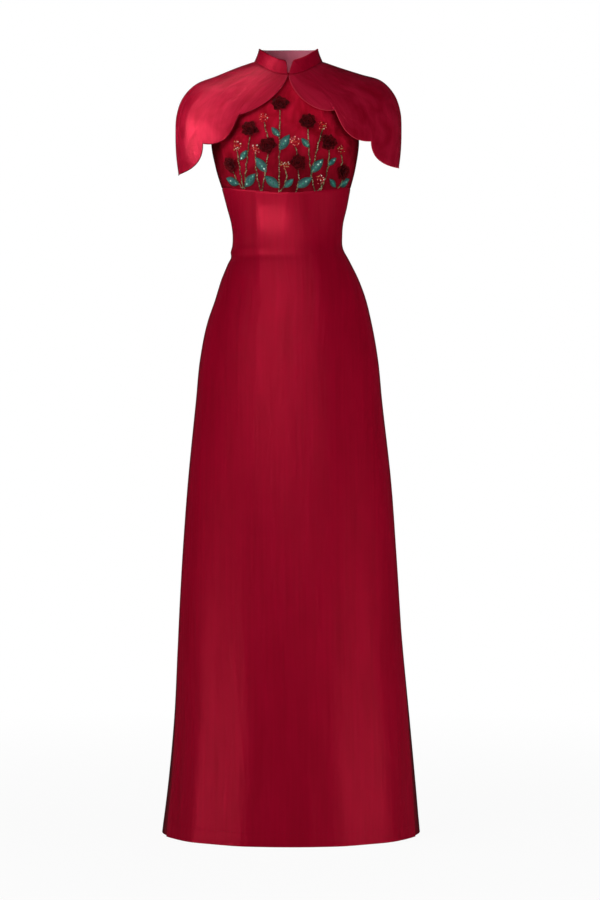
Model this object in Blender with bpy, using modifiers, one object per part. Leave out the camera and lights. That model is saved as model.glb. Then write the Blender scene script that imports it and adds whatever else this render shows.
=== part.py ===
"""Ao dai with a stand collar, a scalloped shoulder cape and an embroidered yoke, filled out as worn.

Metres, +Z up, -Y is the front and +X is the viewer's right. The origin is the middle of the neck
base. An azimuth runs round the body in degrees: 0 is the front, 90 the viewer's right, 180 the back.
Every cut-and-sewn piece is one object, and neighbours are SEAM_GAP apart along their seams.
"""

from collections import namedtuple
from math import cos, degrees, exp, radians, sin

import bmesh
import bpy
import numpy as np
from mathutils import Vector
from mathutils.bvhtree import BVHTree

# Seams and walls. At a seam a faceted wall leans WALL_LEAN towards its neighbour.
SEAM_GAP = 0.0003
WALL_LEAN = 0.00015
CLOTH = 0.0015
LINING = 0.0010

# Skirt. Drops are measured down from the neck base. Below the slit's top the front panel's free edge
# turns forward by FLAP_TURN, and the back panel runs in behind it.
SLIT_TOP = 0.430
HEM = 1.472
FLAP_TURN = 18.0
FLAP_EASE = 1.5
TUCK_DEPTH = 0.0045
TUCK_DEPTH_RUN = 0.060
TUCK_WIDTH = 0.012
TUCK_WIDTH_START = 0.030
TUCK_WIDTH_RUN = 0.150
TUCK_FROM = 98.0
TUCK_FULL = 1.0
DENSE_ROWS = 0.075
PANEL_SHARES = (0, 0.40, 0.62, 1)

# Bust darts, and flutes of the skirt.
BUST_TURN = 38.0
BUST_DROP = 0.165
BUST_FULLNESS = 0.014
BUST_SPREAD = 0.045
FLUTE_TURNS = (-48.0, -22.0, 22.0, 48.0)
FLUTE_SPREAD = 8.0
FLUTE_OUT = 0.0035
FLUTE_TOP = 0.75

# Armholes, from their armpit ring to their shoulder ring.
ARMHOLE_CUT = 35.0
ARMHOLE_FROM, ARMHOLE_TO = 2.0, 4.0

# Collar. Its front ends lean out and have rounded corners.
COLLAR_END = 1.5
COLLAR_END_EASE = 1.5
COLLAR_CORNER_RUN = 0.12
COLLAR_CROWDING = 1.25
COLLAR_END_LEAN = {-1: 5.0, 1: 8.5}
COLLAR_CORNER = 0.22
LINING_INSET = 0.0022
LINING_DROP = 0.02

# Appliques.
ROSE_WIDTH = 0.032
ROSE_HEIGHT = 0.008
LEAF_LENGTH = 0.034
LEAF_WIDTH = 0.016
LEAF_HEIGHT = 0.0014
LAID_GAP = 0.0007
CAST_FROM = 0.05

# A ring is one level line round the garment. It is an ellipse with its own depth in front and behind,
# and its height runs smoothly from z_front to z_side to z_back. tilt lifts its right side.
Ring = namedtuple("Ring", "place half_width front back z_front z_side z_back centre_x tilt")

# Underbust seam to hem. A place is the distance below the neck base.
BODY = [
    Ring(0.235, 0.1240, 0.0920, 0.0880, -0.2510, -0.2350, -0.2350, -0.0045, 0),
    Ring(0.273, 0.1154, 0.0840, 0.0800, -0.2810, -0.2730, -0.2730, -0.0030, 0),
    Ring(0.304, 0.1077, 0.0800, 0.0750, -0.3080, -0.3040, -0.3040, -0.0025, 0),
    Ring(0.327, 0.1055, 0.0790, 0.0730, -0.3280, -0.3270, -0.3270, -0.0020, 0),
    Ring(0.350, 0.1067, 0.0810, 0.0750, -0.3500, -0.3500, -0.3500, -0.0020, 0),
    Ring(0.373, 0.1154, 0.0860, 0.0830, -0.3730, -0.3730, -0.3730, 0.0010, 0),
    Ring(0.412, 0.1327, 0.0940, 0.0980, -0.4120, -0.4120, -0.4120, 0.0030, 0),
    Ring(0.450, 0.1452, 0.1005, 0.1110, -0.4500, -0.4500, -0.4500, 0.0040, 0),
    Ring(0.489, 0.1567, 0.1060, 0.1210, -0.4890, -0.4890, -0.4890, 0.0020, 0),
    Ring(0.565, 0.1712, 0.1160, 0.1320, -0.5650, -0.5650, -0.5650, 0.0010, 0),
    Ring(0.642, 0.1788, 0.1250, 0.1390, -0.6420, -0.6420, -0.6420, 0.0010, 0),
    Ring(0.796, 0.1952, 0.1420, 0.1510, -0.7960, -0.7960, -0.7960, 0.0020, 0),
    Ring(0.950, 0.2070, 0.1580, 0.1640, -0.9500, -0.9500, -0.9500, 0.0020, 0),
    Ring(1.104, 0.2172, 0.1750, 0.1800, -1.1040, -1.1040, -1.1040, 0.0030, 0),
    Ring(1.258, 0.2281, 0.1930, 0.1990, -1.2580, -1.2580, -1.2580, 0.0065, 0),
    Ring(1.377, 0.2389, 0.2060, 0.2140, -1.3770, -1.3770, -1.3770, 0.0065, 0),
    Ring(1.472, 0.2487, 0.2180, 0.2280, -1.4720, -1.4720, -1.4720, 0.0048, 0),
]

# Underbust seam, under the arm, armpit, mid armhole, shoulder point, mid shoulder and neck.
YOKE = [
    Ring(0, 0.1240, 0.0920, 0.0880, -0.2507, -0.2347, -0.2347, -0.0045, 0),
    Ring(1, 0.1346, 0.0980, 0.0940, -0.2050, -0.1960, -0.1960, -0.0055, 0),
    Ring(2, 0.1423, 0.1000, 0.1000, -0.1500, -0.1440, -0.1440, -0.0065, 0),
    Ring(3, 0.1350, 0.0960, 0.1010, -0.1150, -0.0850, -0.0920, -0.0050, 0),
    Ring(4, 0.1180, 0.0860, 0.0930, -0.0780, -0.0200, -0.0500, -0.0020, 0),
    Ring(5, 0.0900, 0.0745, 0.0780, -0.0500, -0.0085, -0.0200, 0, 0),
    Ring(6, 0.0645, 0.0640, 0.0560, -0.0258, 0.0062, 0.0102, 0, 0),
]

# Neck to the lowest line that the scallops reach.
CAPE = [
    Ring(0, 0.0655, 0.0660, 0.0570, -0.0235, 0.0085, 0.0125, 0, 0),
    Ring(1, 0.1000, 0.0800, 0.0780, -0.0500, -0.0036, -0.0100, 0, 0),
    Ring(2, 0.1400, 0.0900, 0.0960, -0.0780, -0.0180, -0.0380, 0, 0.0018),
    Ring(3, 0.1780, 0.0990, 0.1070, -0.1080, -0.0315, -0.0700, 0, 0.0035),
    Ring(4, 0.2035, 0.1055, 0.1130, -0.1350, -0.0580, -0.1020, 0, 0.0035),
    Ring(5, 0.2155, 0.1090, 0.1170, -0.1600, -0.0920, -0.1340, 0, 0.0035),
    Ring(6, 0.2175, 0.1100, 0.1190, -0.1850, -0.1300, -0.1660, 0, 0.0035),
    Ring(7, 0.2160, 0.1120, 0.1200, -0.2100, -0.1700, -0.1980, 0, 0.0035),
    Ring(8, 0.2110, 0.1120, 0.1200, -0.2350, -0.2100, -0.2300, 0, 0.0035),
]

# Neck seam, mid height and top edge of the stand collar.
COLLAR = [
    Ring(0, 0.0655, 0.0660, 0.0570, -0.0232, 0.0088, 0.0128, 0, 0),
    Ring(1, 0.0605, 0.0615, 0.0525, -0.0100, 0.0205, 0.0245, 0, 0),
    Ring(2, 0.0567, 0.0580, 0.0495, 0.0035, 0.0325, 0.0368, 0, 0),
]

# A scallop of the cape's edge starts at a cusp and bows to the next row's cusp. An azimuth here is
# the turn away from the front, and a reach is a place in CAPE.
Scallop = namedtuple("Scallop", "azimuth reach bow_azimuth bow_reach")

FRONT_EDGE = {
    -1: [
        Scallop(0.4, 0.14, 15.2, 2.35),
        Scallop(29.3, 3.51, 28.0, 5.80),
        Scallop(48.4, 5.98, 47.5, 7.95),
        Scallop(90.0, 7.90, 0, 0),
    ],
    1: [
        Scallop(0.4, 0.14, 15.0, 3.00),
        Scallop(28.7, 3.20, 26.5, 5.50),
        Scallop(46.3, 5.95, 46.5, 7.90),
        Scallop(90.0, 7.73, 0, 0),
    ],
}
BACK_EDGE = {
    -1: [
        Scallop(90.0, 7.90, 124.0, 7.60),
        Scallop(128.0, 5.40, 150.0, 5.80),
        Scallop(180.0, 4.80, 0, 0),
    ],
    1: [
        Scallop(90.0, 7.73, 124.0, 7.45),
        Scallop(128.0, 5.30, 150.0, 5.80),
        Scallop(180.0, 4.80, 0, 0),
    ],
}

# Middles of the appliques as seen from the front. turn leans a leaf's tip to the viewer's right.
Motif = namedtuple("Motif", "x z turn")

ROSES = [
    Motif(-0.1084, -0.1951, 20),
    Motif(-0.0725, -0.1326, 70),
    Motif(-0.0384, -0.1629, 0),
    Motif(-0.0157, -0.0834, 45),
    Motif(0.0183, -0.1951, 100),
    Motif(0.0372, -0.1175, 10),
    Motif(0.0770, -0.1572, 60),
    Motif(0.1035, -0.2090, 30),
]
LEAVES = [
    Motif(-0.1066, -0.2268, -66),
    Motif(-0.0725, -0.2272, 45),
    Motif(-0.0517, -0.1988, -36),
    Motif(-0.0309, -0.2310, -50),
    Motif(-0.0072, -0.1572, 33),
    Motif(0.0306, -0.2320, 55),
    Motif(0.0543, -0.2007, 40),
    Motif(0.1070, -0.2277, 64),
]

SIDE_NAMES = {-1: "left", 1: "right"}


def ring_at(rings, place):
    """Reads a smooth curve through the rings at a place between them."""
    table = np.array(rings, dtype=float)
    places = table[:, 0]
    slopes = np.gradient(table, places, axis=0)
    low = int(np.clip(np.searchsorted(places, place) - 1, 0, len(rings) - 2))
    step = places[low + 1] - places[low]
    t = (place - places[low]) / step
    values = (2 * t**3 - 3 * t**2 + 1) * table[low]
    values = values + (t**3 - 2 * t**2 + t) * step * slopes[low]
    values = values + (3 * t**2 - 2 * t**3) * table[low + 1]
    values = values + (t**3 - t**2) * step * slopes[low + 1]
    return Ring(*values)


def ring_point(ring, azimuth, outward=0.0):
    """A point of a ring, moved level and square to the ring by outward."""
    side, ahead = sin(radians(azimuth)), cos(radians(azimuth))
    if ahead > 0:
        depth, z_end = ring.front, ring.z_front
    else:
        depth, z_end = ring.back, ring.z_back
    z = z_end * ahead**2 + ring.z_side * side**2 + ring.tilt * side
    point = Vector((ring.centre_x + ring.half_width * side, -depth * ahead, z))
    normal = Vector((side / ring.half_width, -ahead / depth, 0)).normalized()
    return point + normal * outward


def smoothstep(share):
    share = min(max(share, 0.0), 1.0)
    return share * share * (3 - 2 * share)


def mix(start, end, share):
    return start + (end - start) * share


def gap_angle(radius):
    """The turn that leaves half a seam gap, also at the wall's inner face, which leans to the seam."""
    return degrees((SEAM_GAP / 2 + WALL_LEAN) / radius)


def bust(azimuth, z):
    """How far the two bust darts fill out the front."""
    away = radians(abs(azimuth) - BUST_TURN) * BODY[0].half_width
    return BUST_FULLNESS * exp(-(away**2 + (z + BUST_DROP) ** 2) / BUST_SPREAD**2)


def flutes(azimuth, drop):
    """How far the soft flutes of the skirt stand out, none at FLUTE_TOP and all at the hem."""
    height = FLUTE_OUT * smoothstep((drop - FLUTE_TOP) / (HEM - FLUTE_TOP))
    return height * sum(exp(-(((azimuth - turn) / FLUTE_SPREAD) ** 2)) for turn in FLUTE_TURNS)


def new_material(name, colour, roughness, sheen=0.0):
    material = bpy.data.materials.new(name)
    material.use_nodes = True
    shader = material.node_tree.nodes["Principled BSDF"]
    shader.inputs["Base Color"].default_value = (*colour, 1.0)
    shader.inputs["Roughness"].default_value = roughness
    shader.inputs["Metallic"].default_value = 0.0
    shader.inputs["Sheen Weight"].default_value = sheen
    return material


def finish_mesh(name, mesh, material, collection):
    mesh.materials.append(material)
    mesh.shade_smooth()
    made = bpy.data.objects.new(name, mesh)
    collection.objects.link(made)
    return made


def cloth(name, surface, columns, rows, wall, material, collection):
    """A wall of cloth. surface gives its outer point for two shares: across, and up from its lower edge."""
    bm = bmesh.new()
    bmesh.ops.create_grid(bm, x_segments=columns, y_segments=rows, size=0.5)
    for vert in bm.verts:
        vert.co = surface(vert.co.x + 0.5, vert.co.y + 0.5)
    mesh = bpy.data.meshes.new(name)
    bm.to_mesh(mesh)
    bm.free()
    made = finish_mesh(name, mesh, material, collection)
    thickness = made.modifiers.new("wall", "SOLIDIFY")
    thickness.thickness = wall
    thickness.offset = -1
    return made


def across_span(side, near, far, across):
    """Azimuth for a share of a piece that lies between two turns from the front, on one side."""
    share = across if side > 0 else 1 - across
    return side * mix(near, far, share)


def front_flap_edge(drop):
    """Turn of the front panel's side edge: the seam down to SLIT_TOP, then the free edge."""
    share = max(drop - SLIT_TOP, 0) / (HEM - SLIT_TOP)
    return 90 - FLAP_TURN * share**FLAP_EASE


def back_flap_edge(drop, radius):
    """Turn of the back panel's side edge, tucked behind the front flap below the slit's top."""
    tuck = TUCK_WIDTH * smoothstep((drop - SLIT_TOP - TUCK_WIDTH_START) / TUCK_WIDTH_RUN)
    return front_flap_edge(drop) - degrees(tuck / radius)


def body_level(rise):
    """Drop of a row of the skirt panels. The rows are densest just below the slit's top."""
    drops = (HEM, SLIT_TOP + DENSE_ROWS, SLIT_TOP, BODY[0].place)
    return float(np.interp(rise, PANEL_SHARES, drops))


def front_panel_surface(across, rise):
    drop = body_level(rise)
    ring = ring_at(BODY, drop)
    edge = front_flap_edge(drop) - gap_angle(ring.front)
    azimuth = mix(-edge, edge, across)
    return ring_point(ring, azimuth, flutes(azimuth, drop) + bust(azimuth, -drop))


def back_panel_surface(side):
    def surface(across, rise):
        drop = body_level(rise)
        ring = ring_at(BODY, drop)
        near = back_flap_edge(drop, ring.front) + gap_angle(ring.front)
        azimuth = across_span(side, near, 180 - gap_angle(ring.half_width), across)
        turned = (TUCK_FROM - abs(azimuth)) / (TUCK_FROM - front_flap_edge(drop) - TUCK_FULL)
        depth = TUCK_DEPTH * smoothstep((drop - SLIT_TOP) / TUCK_DEPTH_RUN)
        return ring_point(ring, azimuth, -depth * smoothstep(turned))

    return surface


def armhole_edge(place):
    """Turn of the yoke's side edge: the side seam, the armhole's curve, then the shoulder seam."""
    share = (place - ARMHOLE_FROM) / (ARMHOLE_TO - ARMHOLE_FROM)
    return ARMHOLE_CUT * sin(radians(180 * min(max(share, 0), 1)))


def front_yoke_surface(across, rise):
    place = mix(YOKE[0].place, YOKE[-1].place, rise)
    ring = ring_at(YOKE, place)
    edge = 90 - armhole_edge(place) - gap_angle(ring.front)
    azimuth = mix(-edge, edge, across)
    z = ring_point(ring, azimuth).z
    return ring_point(ring, azimuth, bust(azimuth, z))


def back_yoke_surface(side):
    def surface(across, rise):
        place = mix(YOKE[0].place, YOKE[-1].place, rise)
        ring = ring_at(YOKE, place)
        near = 90 + armhole_edge(place) + gap_angle(ring.back)
        return ring_point(ring, across_span(side, near, 180 - gap_angle(ring.half_width), across))

    return surface


def edge_point(scallops, share):
    """Azimuth and reach of the scalloped edge, and the straight run between its cusps' azimuths."""
    count = len(scallops) - 1
    index = min(int(share * count + 1e-6), count - 1)
    t = share * count - index
    here, there = scallops[index], scallops[index + 1]
    azimuth = mix(mix(here.azimuth, here.bow_azimuth, t), mix(here.bow_azimuth, there.azimuth, t), t)
    reach = mix(mix(here.reach, here.bow_reach, t), mix(here.bow_reach, there.reach, t), t)
    return azimuth, reach, mix(here.azimuth, there.azimuth, t)


def cape_surface(side, scallops, rings):
    def surface(across, rise):
        share = across if side > 0 else 1 - across
        azimuth, reach, neck_azimuth = edge_point(scallops, share)
        turn = mix(azimuth, neck_azimuth, rise)
        ring = ring_at(rings, reach * (1 - rise))
        near = scallops[0].azimuth + gap_angle(ring.front if scallops[0].azimuth < 90 else ring.back)
        far = scallops[-1].azimuth - gap_angle(ring.back)
        return ring_point(ring, side * min(max(turn, near), far))

    return surface


def collar_surface(side, inset, drop):
    """The stand collar from its leaning, rounded front end to the centre back."""

    def surface(across, rise):
        share = across if side > 0 else 1 - across
        corner = COLLAR_CORNER * max(1 - share / COLLAR_CORNER_RUN, 0) ** 2
        place = COLLAR[-1].place * rise * (1 - corner - drop)
        ring = ring_at(COLLAR, place)
        near = COLLAR_END + COLLAR_END_LEAN[side] * rise**COLLAR_END_EASE
        azimuth = mix(near, 180 - gap_angle(ring.half_width), share**COLLAR_CROWDING)
        return ring_point(ring, side * azimuth, -inset)

    return surface


def applique(name, motif, size, height, pointed, segments, rings, ground, material, collection):
    """A raised motif on the front yoke, made from a sphere whose underside lies on the yoke."""
    centre, normal = ground.ray_cast(Vector((motif.x, -1, motif.z)), Vector((0, 1, 0)))[:2]
    right = Vector((0, 0, 1)).cross(normal).normalized()
    up = normal.cross(right)
    along = up * cos(radians(motif.turn)) + right * sin(radians(motif.turn))
    beside = normal.cross(along)
    bm = bmesh.new()
    bmesh.ops.create_uvsphere(bm, u_segments=segments, v_segments=rings, radius=1)
    for vert in bm.verts:
        narrow = (1 - min(vert.co.x**2, 1)) ** 0.5 if pointed else 1
        flat = along * vert.co.x * size[0] / 2 + beside * vert.co.y * narrow * size[1] / 2
        landed = ground.ray_cast(centre + flat + normal * CAST_FROM, -normal)[0]
        vert.co = landed + normal * (LAID_GAP + height * max(vert.co.z, 0))
    mesh = bpy.data.meshes.new(name)
    bm.to_mesh(mesh)
    bm.free()
    return finish_mesh(name, mesh, material, collection)


def build():
    for old in list(bpy.data.objects):
        bpy.data.objects.remove(old)
    dress = bpy.data.collections.new("ao_dai")
    bpy.context.scene.collection.children.link(dress)

    satin = new_material("red_satin", (0.36, 0.006, 0.022), 0.36, 0.3)
    yoke_cloth = new_material("yoke_cloth", (0.24, 0.004, 0.014), 0.6, 0.2)
    lining = new_material("collar_lining", (0.43, 0.08, 0.16), 0.6)
    rose = new_material("rose_velvet", (0.10, 0.002, 0.006), 0.8, 0.5)
    leaf = new_material("leaf_sequins", (0.02, 0.19, 0.15), 0.35)

    front_yoke = cloth("front_yoke", front_yoke_surface, 24, 14, CLOTH, yoke_cloth, dress)
    cloth("front_panel", front_panel_surface, 26, 22, CLOTH, satin, dress)
    for side, word in SIDE_NAMES.items():
        cloth(f"back_panel_{word}", back_panel_surface(side), 14, 22, CLOTH, satin, dress)
        cloth(f"back_yoke_{word}", back_yoke_surface(side), 9, 12, CLOTH, yoke_cloth, dress)
        front_cape = cape_surface(side, FRONT_EDGE[side], CAPE)
        cloth(f"cape_front_{word}", front_cape, 18, 12, CLOTH, satin, dress)
        back_cape = cape_surface(side, BACK_EDGE[side], CAPE)
        cloth(f"cape_back_{word}", back_cape, 12, 10, CLOTH, satin, dress)
        cloth(f"collar_{word}", collar_surface(side, 0, 0), 15, 4, CLOTH, satin, dress)
        inner = collar_surface(side, LINING_INSET, LINING_DROP)
        cloth(f"collar_lining_{word}", inner, 15, 4, LINING, lining, dress)

    bpy.context.view_layer.update()
    ground = BVHTree.FromObject(front_yoke, bpy.context.evaluated_depsgraph_get())
    for number, motif in enumerate(ROSES, 1):
        size = (ROSE_WIDTH, ROSE_WIDTH)
        applique(f"rose_{number}", motif, size, ROSE_HEIGHT, False, 14, 6, ground, rose, dress)
    for number, motif in enumerate(LEAVES, 1):
        size = (LEAF_LENGTH, LEAF_WIDTH)
        applique(f"leaf_{number}", motif, size, LEAF_HEIGHT, True, 12, 4, ground, leaf, dress)


build()
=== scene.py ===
from collections import namedtuple
from math import cos, pi, radians, sin, tau
from random import Random

import bpy
import numpy as np
from mathutils import Matrix, Vector
from mathutils.bvhtree import BVHTree


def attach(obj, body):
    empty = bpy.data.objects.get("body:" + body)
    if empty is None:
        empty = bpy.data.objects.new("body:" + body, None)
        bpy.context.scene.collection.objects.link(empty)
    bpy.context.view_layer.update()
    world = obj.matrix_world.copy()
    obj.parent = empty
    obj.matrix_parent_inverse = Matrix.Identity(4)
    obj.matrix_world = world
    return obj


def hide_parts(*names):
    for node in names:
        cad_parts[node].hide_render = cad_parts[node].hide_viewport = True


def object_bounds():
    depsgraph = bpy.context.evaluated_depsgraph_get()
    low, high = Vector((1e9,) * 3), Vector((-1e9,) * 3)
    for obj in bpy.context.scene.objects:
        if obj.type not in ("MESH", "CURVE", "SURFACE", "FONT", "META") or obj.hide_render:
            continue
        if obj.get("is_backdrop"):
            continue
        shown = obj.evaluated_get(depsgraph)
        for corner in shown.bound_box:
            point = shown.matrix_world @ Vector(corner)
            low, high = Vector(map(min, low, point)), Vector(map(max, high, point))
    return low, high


# Ao dai with a stand collar, a scalloped shoulder cape and an embroidered yoke, filled out as worn.
# Metres, +Z up, -Y is the front. An azimuth runs round the body in degrees: 0 is the front, 90 the
# viewer's right and 180 the back.
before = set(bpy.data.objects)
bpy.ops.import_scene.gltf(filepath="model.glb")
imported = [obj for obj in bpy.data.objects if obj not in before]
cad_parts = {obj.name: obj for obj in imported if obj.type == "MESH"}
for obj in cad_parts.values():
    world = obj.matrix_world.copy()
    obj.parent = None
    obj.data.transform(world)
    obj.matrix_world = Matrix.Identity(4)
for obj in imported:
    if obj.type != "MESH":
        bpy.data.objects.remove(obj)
cad_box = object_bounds()
scene = bpy.context.scene
scene.view_settings.view_transform = "Standard"

# Camera. It is level at the middle of the dress, 5.5 m off, with a long lens, as for a catalogue.
camera_data = bpy.data.cameras.new("camera")
camera_data.sensor_width = 36
camera_data.lens = 114.4
camera = bpy.data.objects.new("camera", camera_data)
camera.location = (0.0221, -5.5, -0.738)
camera.rotation_euler = (radians(90), 0, 0)
scene.collection.objects.link(camera)
scene.camera = camera


# Studio lights. Large soft lights fill the red evenly. Smaller ones lay the satin's sheen: a low panel for
# the midriff, two narrow strips for the middle of the skirt, five on the viewer's left for that side of
# the collar and cape, and two low ones beside the hem.
def softbox(name, place, aim, size, watts, lit="diffuse sheen", spread=180):
    """A soft rectangular light at place that faces aim. lit names what it does on the cloth."""
    lamp = bpy.data.lights.new(name, "AREA")
    lamp.shape = "RECTANGLE"
    lamp.size = size[0]
    lamp.size_y = size[1]
    lamp.energy = watts
    lamp.spread = radians(spread)
    made = bpy.data.objects.new(name, lamp)
    made.location = place
    made.rotation_euler = (Vector(aim) - Vector(place)).to_track_quat("-Z", "Y").to_euler()
    made.visible_camera = False
    made.visible_diffuse = "diffuse" in lit
    made.visible_glossy = "sheen" in lit
    scene.collection.objects.link(made)


softbox("left_side_fill", (-3.25, -0.87, -1.07), (0, 0, -0.6), (1.6, 1.6), 42, lit="diffuse")
softbox("left_front_fill", (-1.77, -2.52, 0.84), (0, 0, -0.6), (1.6, 1.6), 40, lit="diffuse")
softbox("right_front_fill", (1.93, -2.76, -1.07), (0, 0, -0.6), (1.6, 1.6), 35, lit="diffuse")
softbox("right_side_fill", (3.25, -0.87, -1.07), (0, 0, -0.6), (1.6, 1.6), 52, lit="diffuse")
softbox("cape_sheen", (-0.74, -0.83, 1.86), (-0.12, -0.02, 0.06), (0.3, 0.3), 0.045, lit="sheen", spread=10)
softbox("cape_front_light", (-1.14, -0.64, 0.84), (-0.17, -0.03, 0.0), (0.2, 0.2), 0.072, spread=17)
softbox("cape_side_light", (-1.17, -0.41, 0.08), (-0.19, -0.03, -0.12), (0.2, 0.2), 0.080, spread=17)
softbox("cape_top_light", (-0.52, 0.03, 0.92), (-0.15, -0.04, -0.11), (0.6, 0.6), 0.20, spread=30)
softbox("collar_light", (-1.25, -0.80, 0.12), (-0.03, -0.05, 0.012), (0.2, 0.2), 0.09, lit="sheen", spread=10)
softbox("low_panel", (-0.68, -1.58, -0.62), (-0.02, -0.05, -0.31), (0.35, 0.5), 0.34, lit="sheen", spread=25)
softbox("high_strip", (-0.18, -2.62, 1.29), (0, 0, -0.55), (0.08, 0.8), 0.8, lit="sheen", spread=60)
softbox("middle_strip", (0, -3.09, 0.28), (0, 0, -0.55), (0.08, 0.8), 0.8, lit="sheen", spread=60)
softbox("left_hem_light", (-2.16, -1.25, -1.52), (0, 0, -1.3), (0.9, 0.5), 1.45, spread=60)
softbox("right_hem_light", (2.16, -1.25, -1.52), (0, 0, -1.3), (0.9, 0.5), 1.15, spread=60)
softbox("back_fill", (0.4, 4.5, 0.3), (0, 0, -0.7), (2.0, 2.0), 60, lit="diffuse")


# Room. It is dim to the cloth, so the dress keeps its dark edges, and white to the camera.
def feed(tree, node, inputs):
    """Gives a node's sockets their values, or links them to the sockets that feed them."""
    for name, value in inputs.items():
        if isinstance(value, bpy.types.NodeSocket):
            tree.links.new(value, node.inputs[name])
        else:
            node.inputs[name].default_value = value


def add_node(tree, kind, inputs=None, out=0, **settings):
    """Adds a node and returns one of its outputs, where it has any."""
    made = tree.nodes.new(kind)
    for name, value in settings.items():
        setattr(made, name, value)
    feed(tree, made, inputs or {})
    return made.outputs[out] if len(made.outputs) else None


world = bpy.data.worlds.new("studio")
scene.world = world
world.use_nodes = True
room = world.node_tree
room.nodes.clear()
seen = add_node(room, "ShaderNodeLightPath", out="Is Camera Ray")
dim = add_node(room, "ShaderNodeBackground", {"Color": (0.9, 0.92, 1.0, 1), "Strength": 0.03})
white = add_node(room, "ShaderNodeBackground", {"Color": (1, 1, 1, 1), "Strength": 1.0})
sky = add_node(room, "ShaderNodeMixShader", {0: seen, 1: dim, 2: white})
add_node(room, "ShaderNodeOutputWorld", {"Surface": sky})


# Floor. Plain pale paper under the hem. The camera sees it nearly white, and as white as the room from
# the end of FLOOR_FADE on, in metres from the neck. It is dim to the satin's sheen.
FLOOR_DROP = 1.4732
FLOOR_REACH = 30.0
FLOOR_SHEEN_LOSS = 0.85
FLOOR_FADE = (1.2, 3.0)
FLOOR_WHITE = 0.93


def math_node(tree, operation, *values):
    """The result of a sum on up to three values or sockets."""
    return add_node(tree, "ShaderNodeMath", dict(enumerate(values)), operation=operation)


def product(tree, *values):
    return math_node(tree, "MULTIPLY", *values)


def noise(tree, vector, scale, detail=2.0, distortion=0.0):
    """Soft random values, scale waves to a metre."""
    inputs = {"Vector": vector, "Scale": scale, "Detail": detail, "Distortion": distortion}
    return add_node(tree, "ShaderNodeTexNoise", inputs, out="Fac")


def blend(tree, share, low, high):
    """A colour between two, each one a colour or a socket."""
    ends = [end if isinstance(end, bpy.types.NodeSocket) else (*end, 1) for end in (low, high)]
    return add_node(tree, "ShaderNodeMix", {"Factor": share, 6: ends[0], 7: ends[1]}, out=2, data_type="RGBA")


def scaled(tree, vector, share):
    return add_node(tree, "ShaderNodeVectorMath", {0: vector, "Scale": share}, operation="SCALE")


def map_range(tree, value, start, end, low, high):
    """Carries a value's place between start and end over to low and high."""
    return add_node(tree, "ShaderNodeMapRange", {"Value": value, 1: start, 2: end, 3: low, 4: high})


def object_place(tree, out=None):
    """The place on a piece in metres, or one of its axes."""
    place = add_node(tree, "ShaderNodeTexCoord", out="Object")
    return add_node(tree, "ShaderNodeSeparateXYZ", {0: place}, out=out) if out else place


def new_material(name):
    """A material, with its tree and its surface shader."""
    material = bpy.data.materials.new(name)
    material.use_nodes = True
    return material, material.node_tree, material.node_tree.nodes["Principled BSDF"]


floor_mesh = bpy.data.meshes.new("floor")
corners = [(-1, -1), (1, -1), (1, 1), (-1, 1)]
floor_mesh.from_pydata(
    [(x * FLOOR_REACH, y * FLOOR_REACH, -FLOOR_DROP) for x, y in corners], [], [(0, 1, 2, 3)]
)
floor = bpy.data.objects.new("floor", floor_mesh)
scene.collection.objects.link(floor)
paper, tree = new_material("floor_paper")[:2]
tree.nodes.clear()
place = object_place(tree)
rays = add_node(tree, "ShaderNodeLightPath").node.outputs
tint = blend(tree, noise(tree, place, 40.0, 3.0), (0.74, 0.74, 0.73), (0.78, 0.78, 0.77))
dim = math_node(tree, "MULTIPLY_ADD", rays["Is Glossy Ray"], -FLOOR_SHEEN_LOSS, 1.0)
matt = add_node(tree, "ShaderNodeBsdfDiffuse", {"Color": scaled(tree, tint, dim)})
lit = add_node(tree, "ShaderNodeEmission", {"Color": (1, 1, 1, 1), "Strength": 1.0})
away = add_node(tree, "ShaderNodeVectorMath", {0: place}, out="Value", operation="LENGTH")
run = map_range(tree, away, *FLOOR_FADE, FLOOR_WHITE, 1.0)
share = product(tree, rays["Is Camera Ray"], run)
mixed = add_node(tree, "ShaderNodeMixShader", {0: share, 1: matt, 2: lit})
add_node(tree, "ShaderNodeOutputMaterial", {"Surface": mixed})
floor_mesh.materials.append(paper)
floor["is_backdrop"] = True


# Front panel. One width of red silk satin from the underbust seam to the hem, shaped by two long darts
# and side seams that stop at the hip, where the slits begin. Its free edges and hem are turned up once
# and slip-stitched.
SLIT_TOP = 0.430
HEM = 1.472
FLAP_TURN = 18.0
FLAP_EASE = 1.5
SATIN_WALL = 0.0009
BUST_TURN = 38.0
BUST_DROP = 0.165
BUST_FULLNESS = 0.014
BUST_SPREAD = 0.045
FLUTE_TURNS = (-48.0, -22.0, 22.0, 48.0)
FLUTE_SPREAD = 8.0
FLUTE_OUT = 0.0035
FLUTE_TOP = 0.75
DART_OUT = 0.056
DART_SHARE = 0.28
DART_FALL = (0.42, 0.75)
DART_END_TURN = 30
DART_FADE_END = 0.52
DART_FADE_RUN = 0.16
DART_RIDGE = {-1: 0.0034, 1: 0.0016}
DART_RIDGE_RUN = 0.019
SEAM_DIP = 0.0006
SEAM_DIP_RUN = 0.0014
DART_DIP = 0.4 * SEAM_DIP
DART_ROUNDING = 1e-6
SEAM_TUCK = 0.0011
SLIT_BLEND = 0.004
SEAM_LAP = 0.0010
HEM_TURN = 0.024
EDGE_TURN = 0.010
TURN_UP = 0.00018
FOLD_BLEND = 0.002

# A ring is one line round the garment, level or dipped. It is an ellipse with its own depth in front and
# behind, and its height runs smoothly from z_front to z_side to z_back. tilt lifts its right side.
Ring = namedtuple("Ring", "place half_width front back z_front z_side z_back centre_x tilt")


def level(place, half_width, front, back, centre_x):
    """A level ring of the skirt, whose place is its drop."""
    return Ring(place, half_width, front, back, -place, -place, -place, centre_x, 0)


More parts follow.
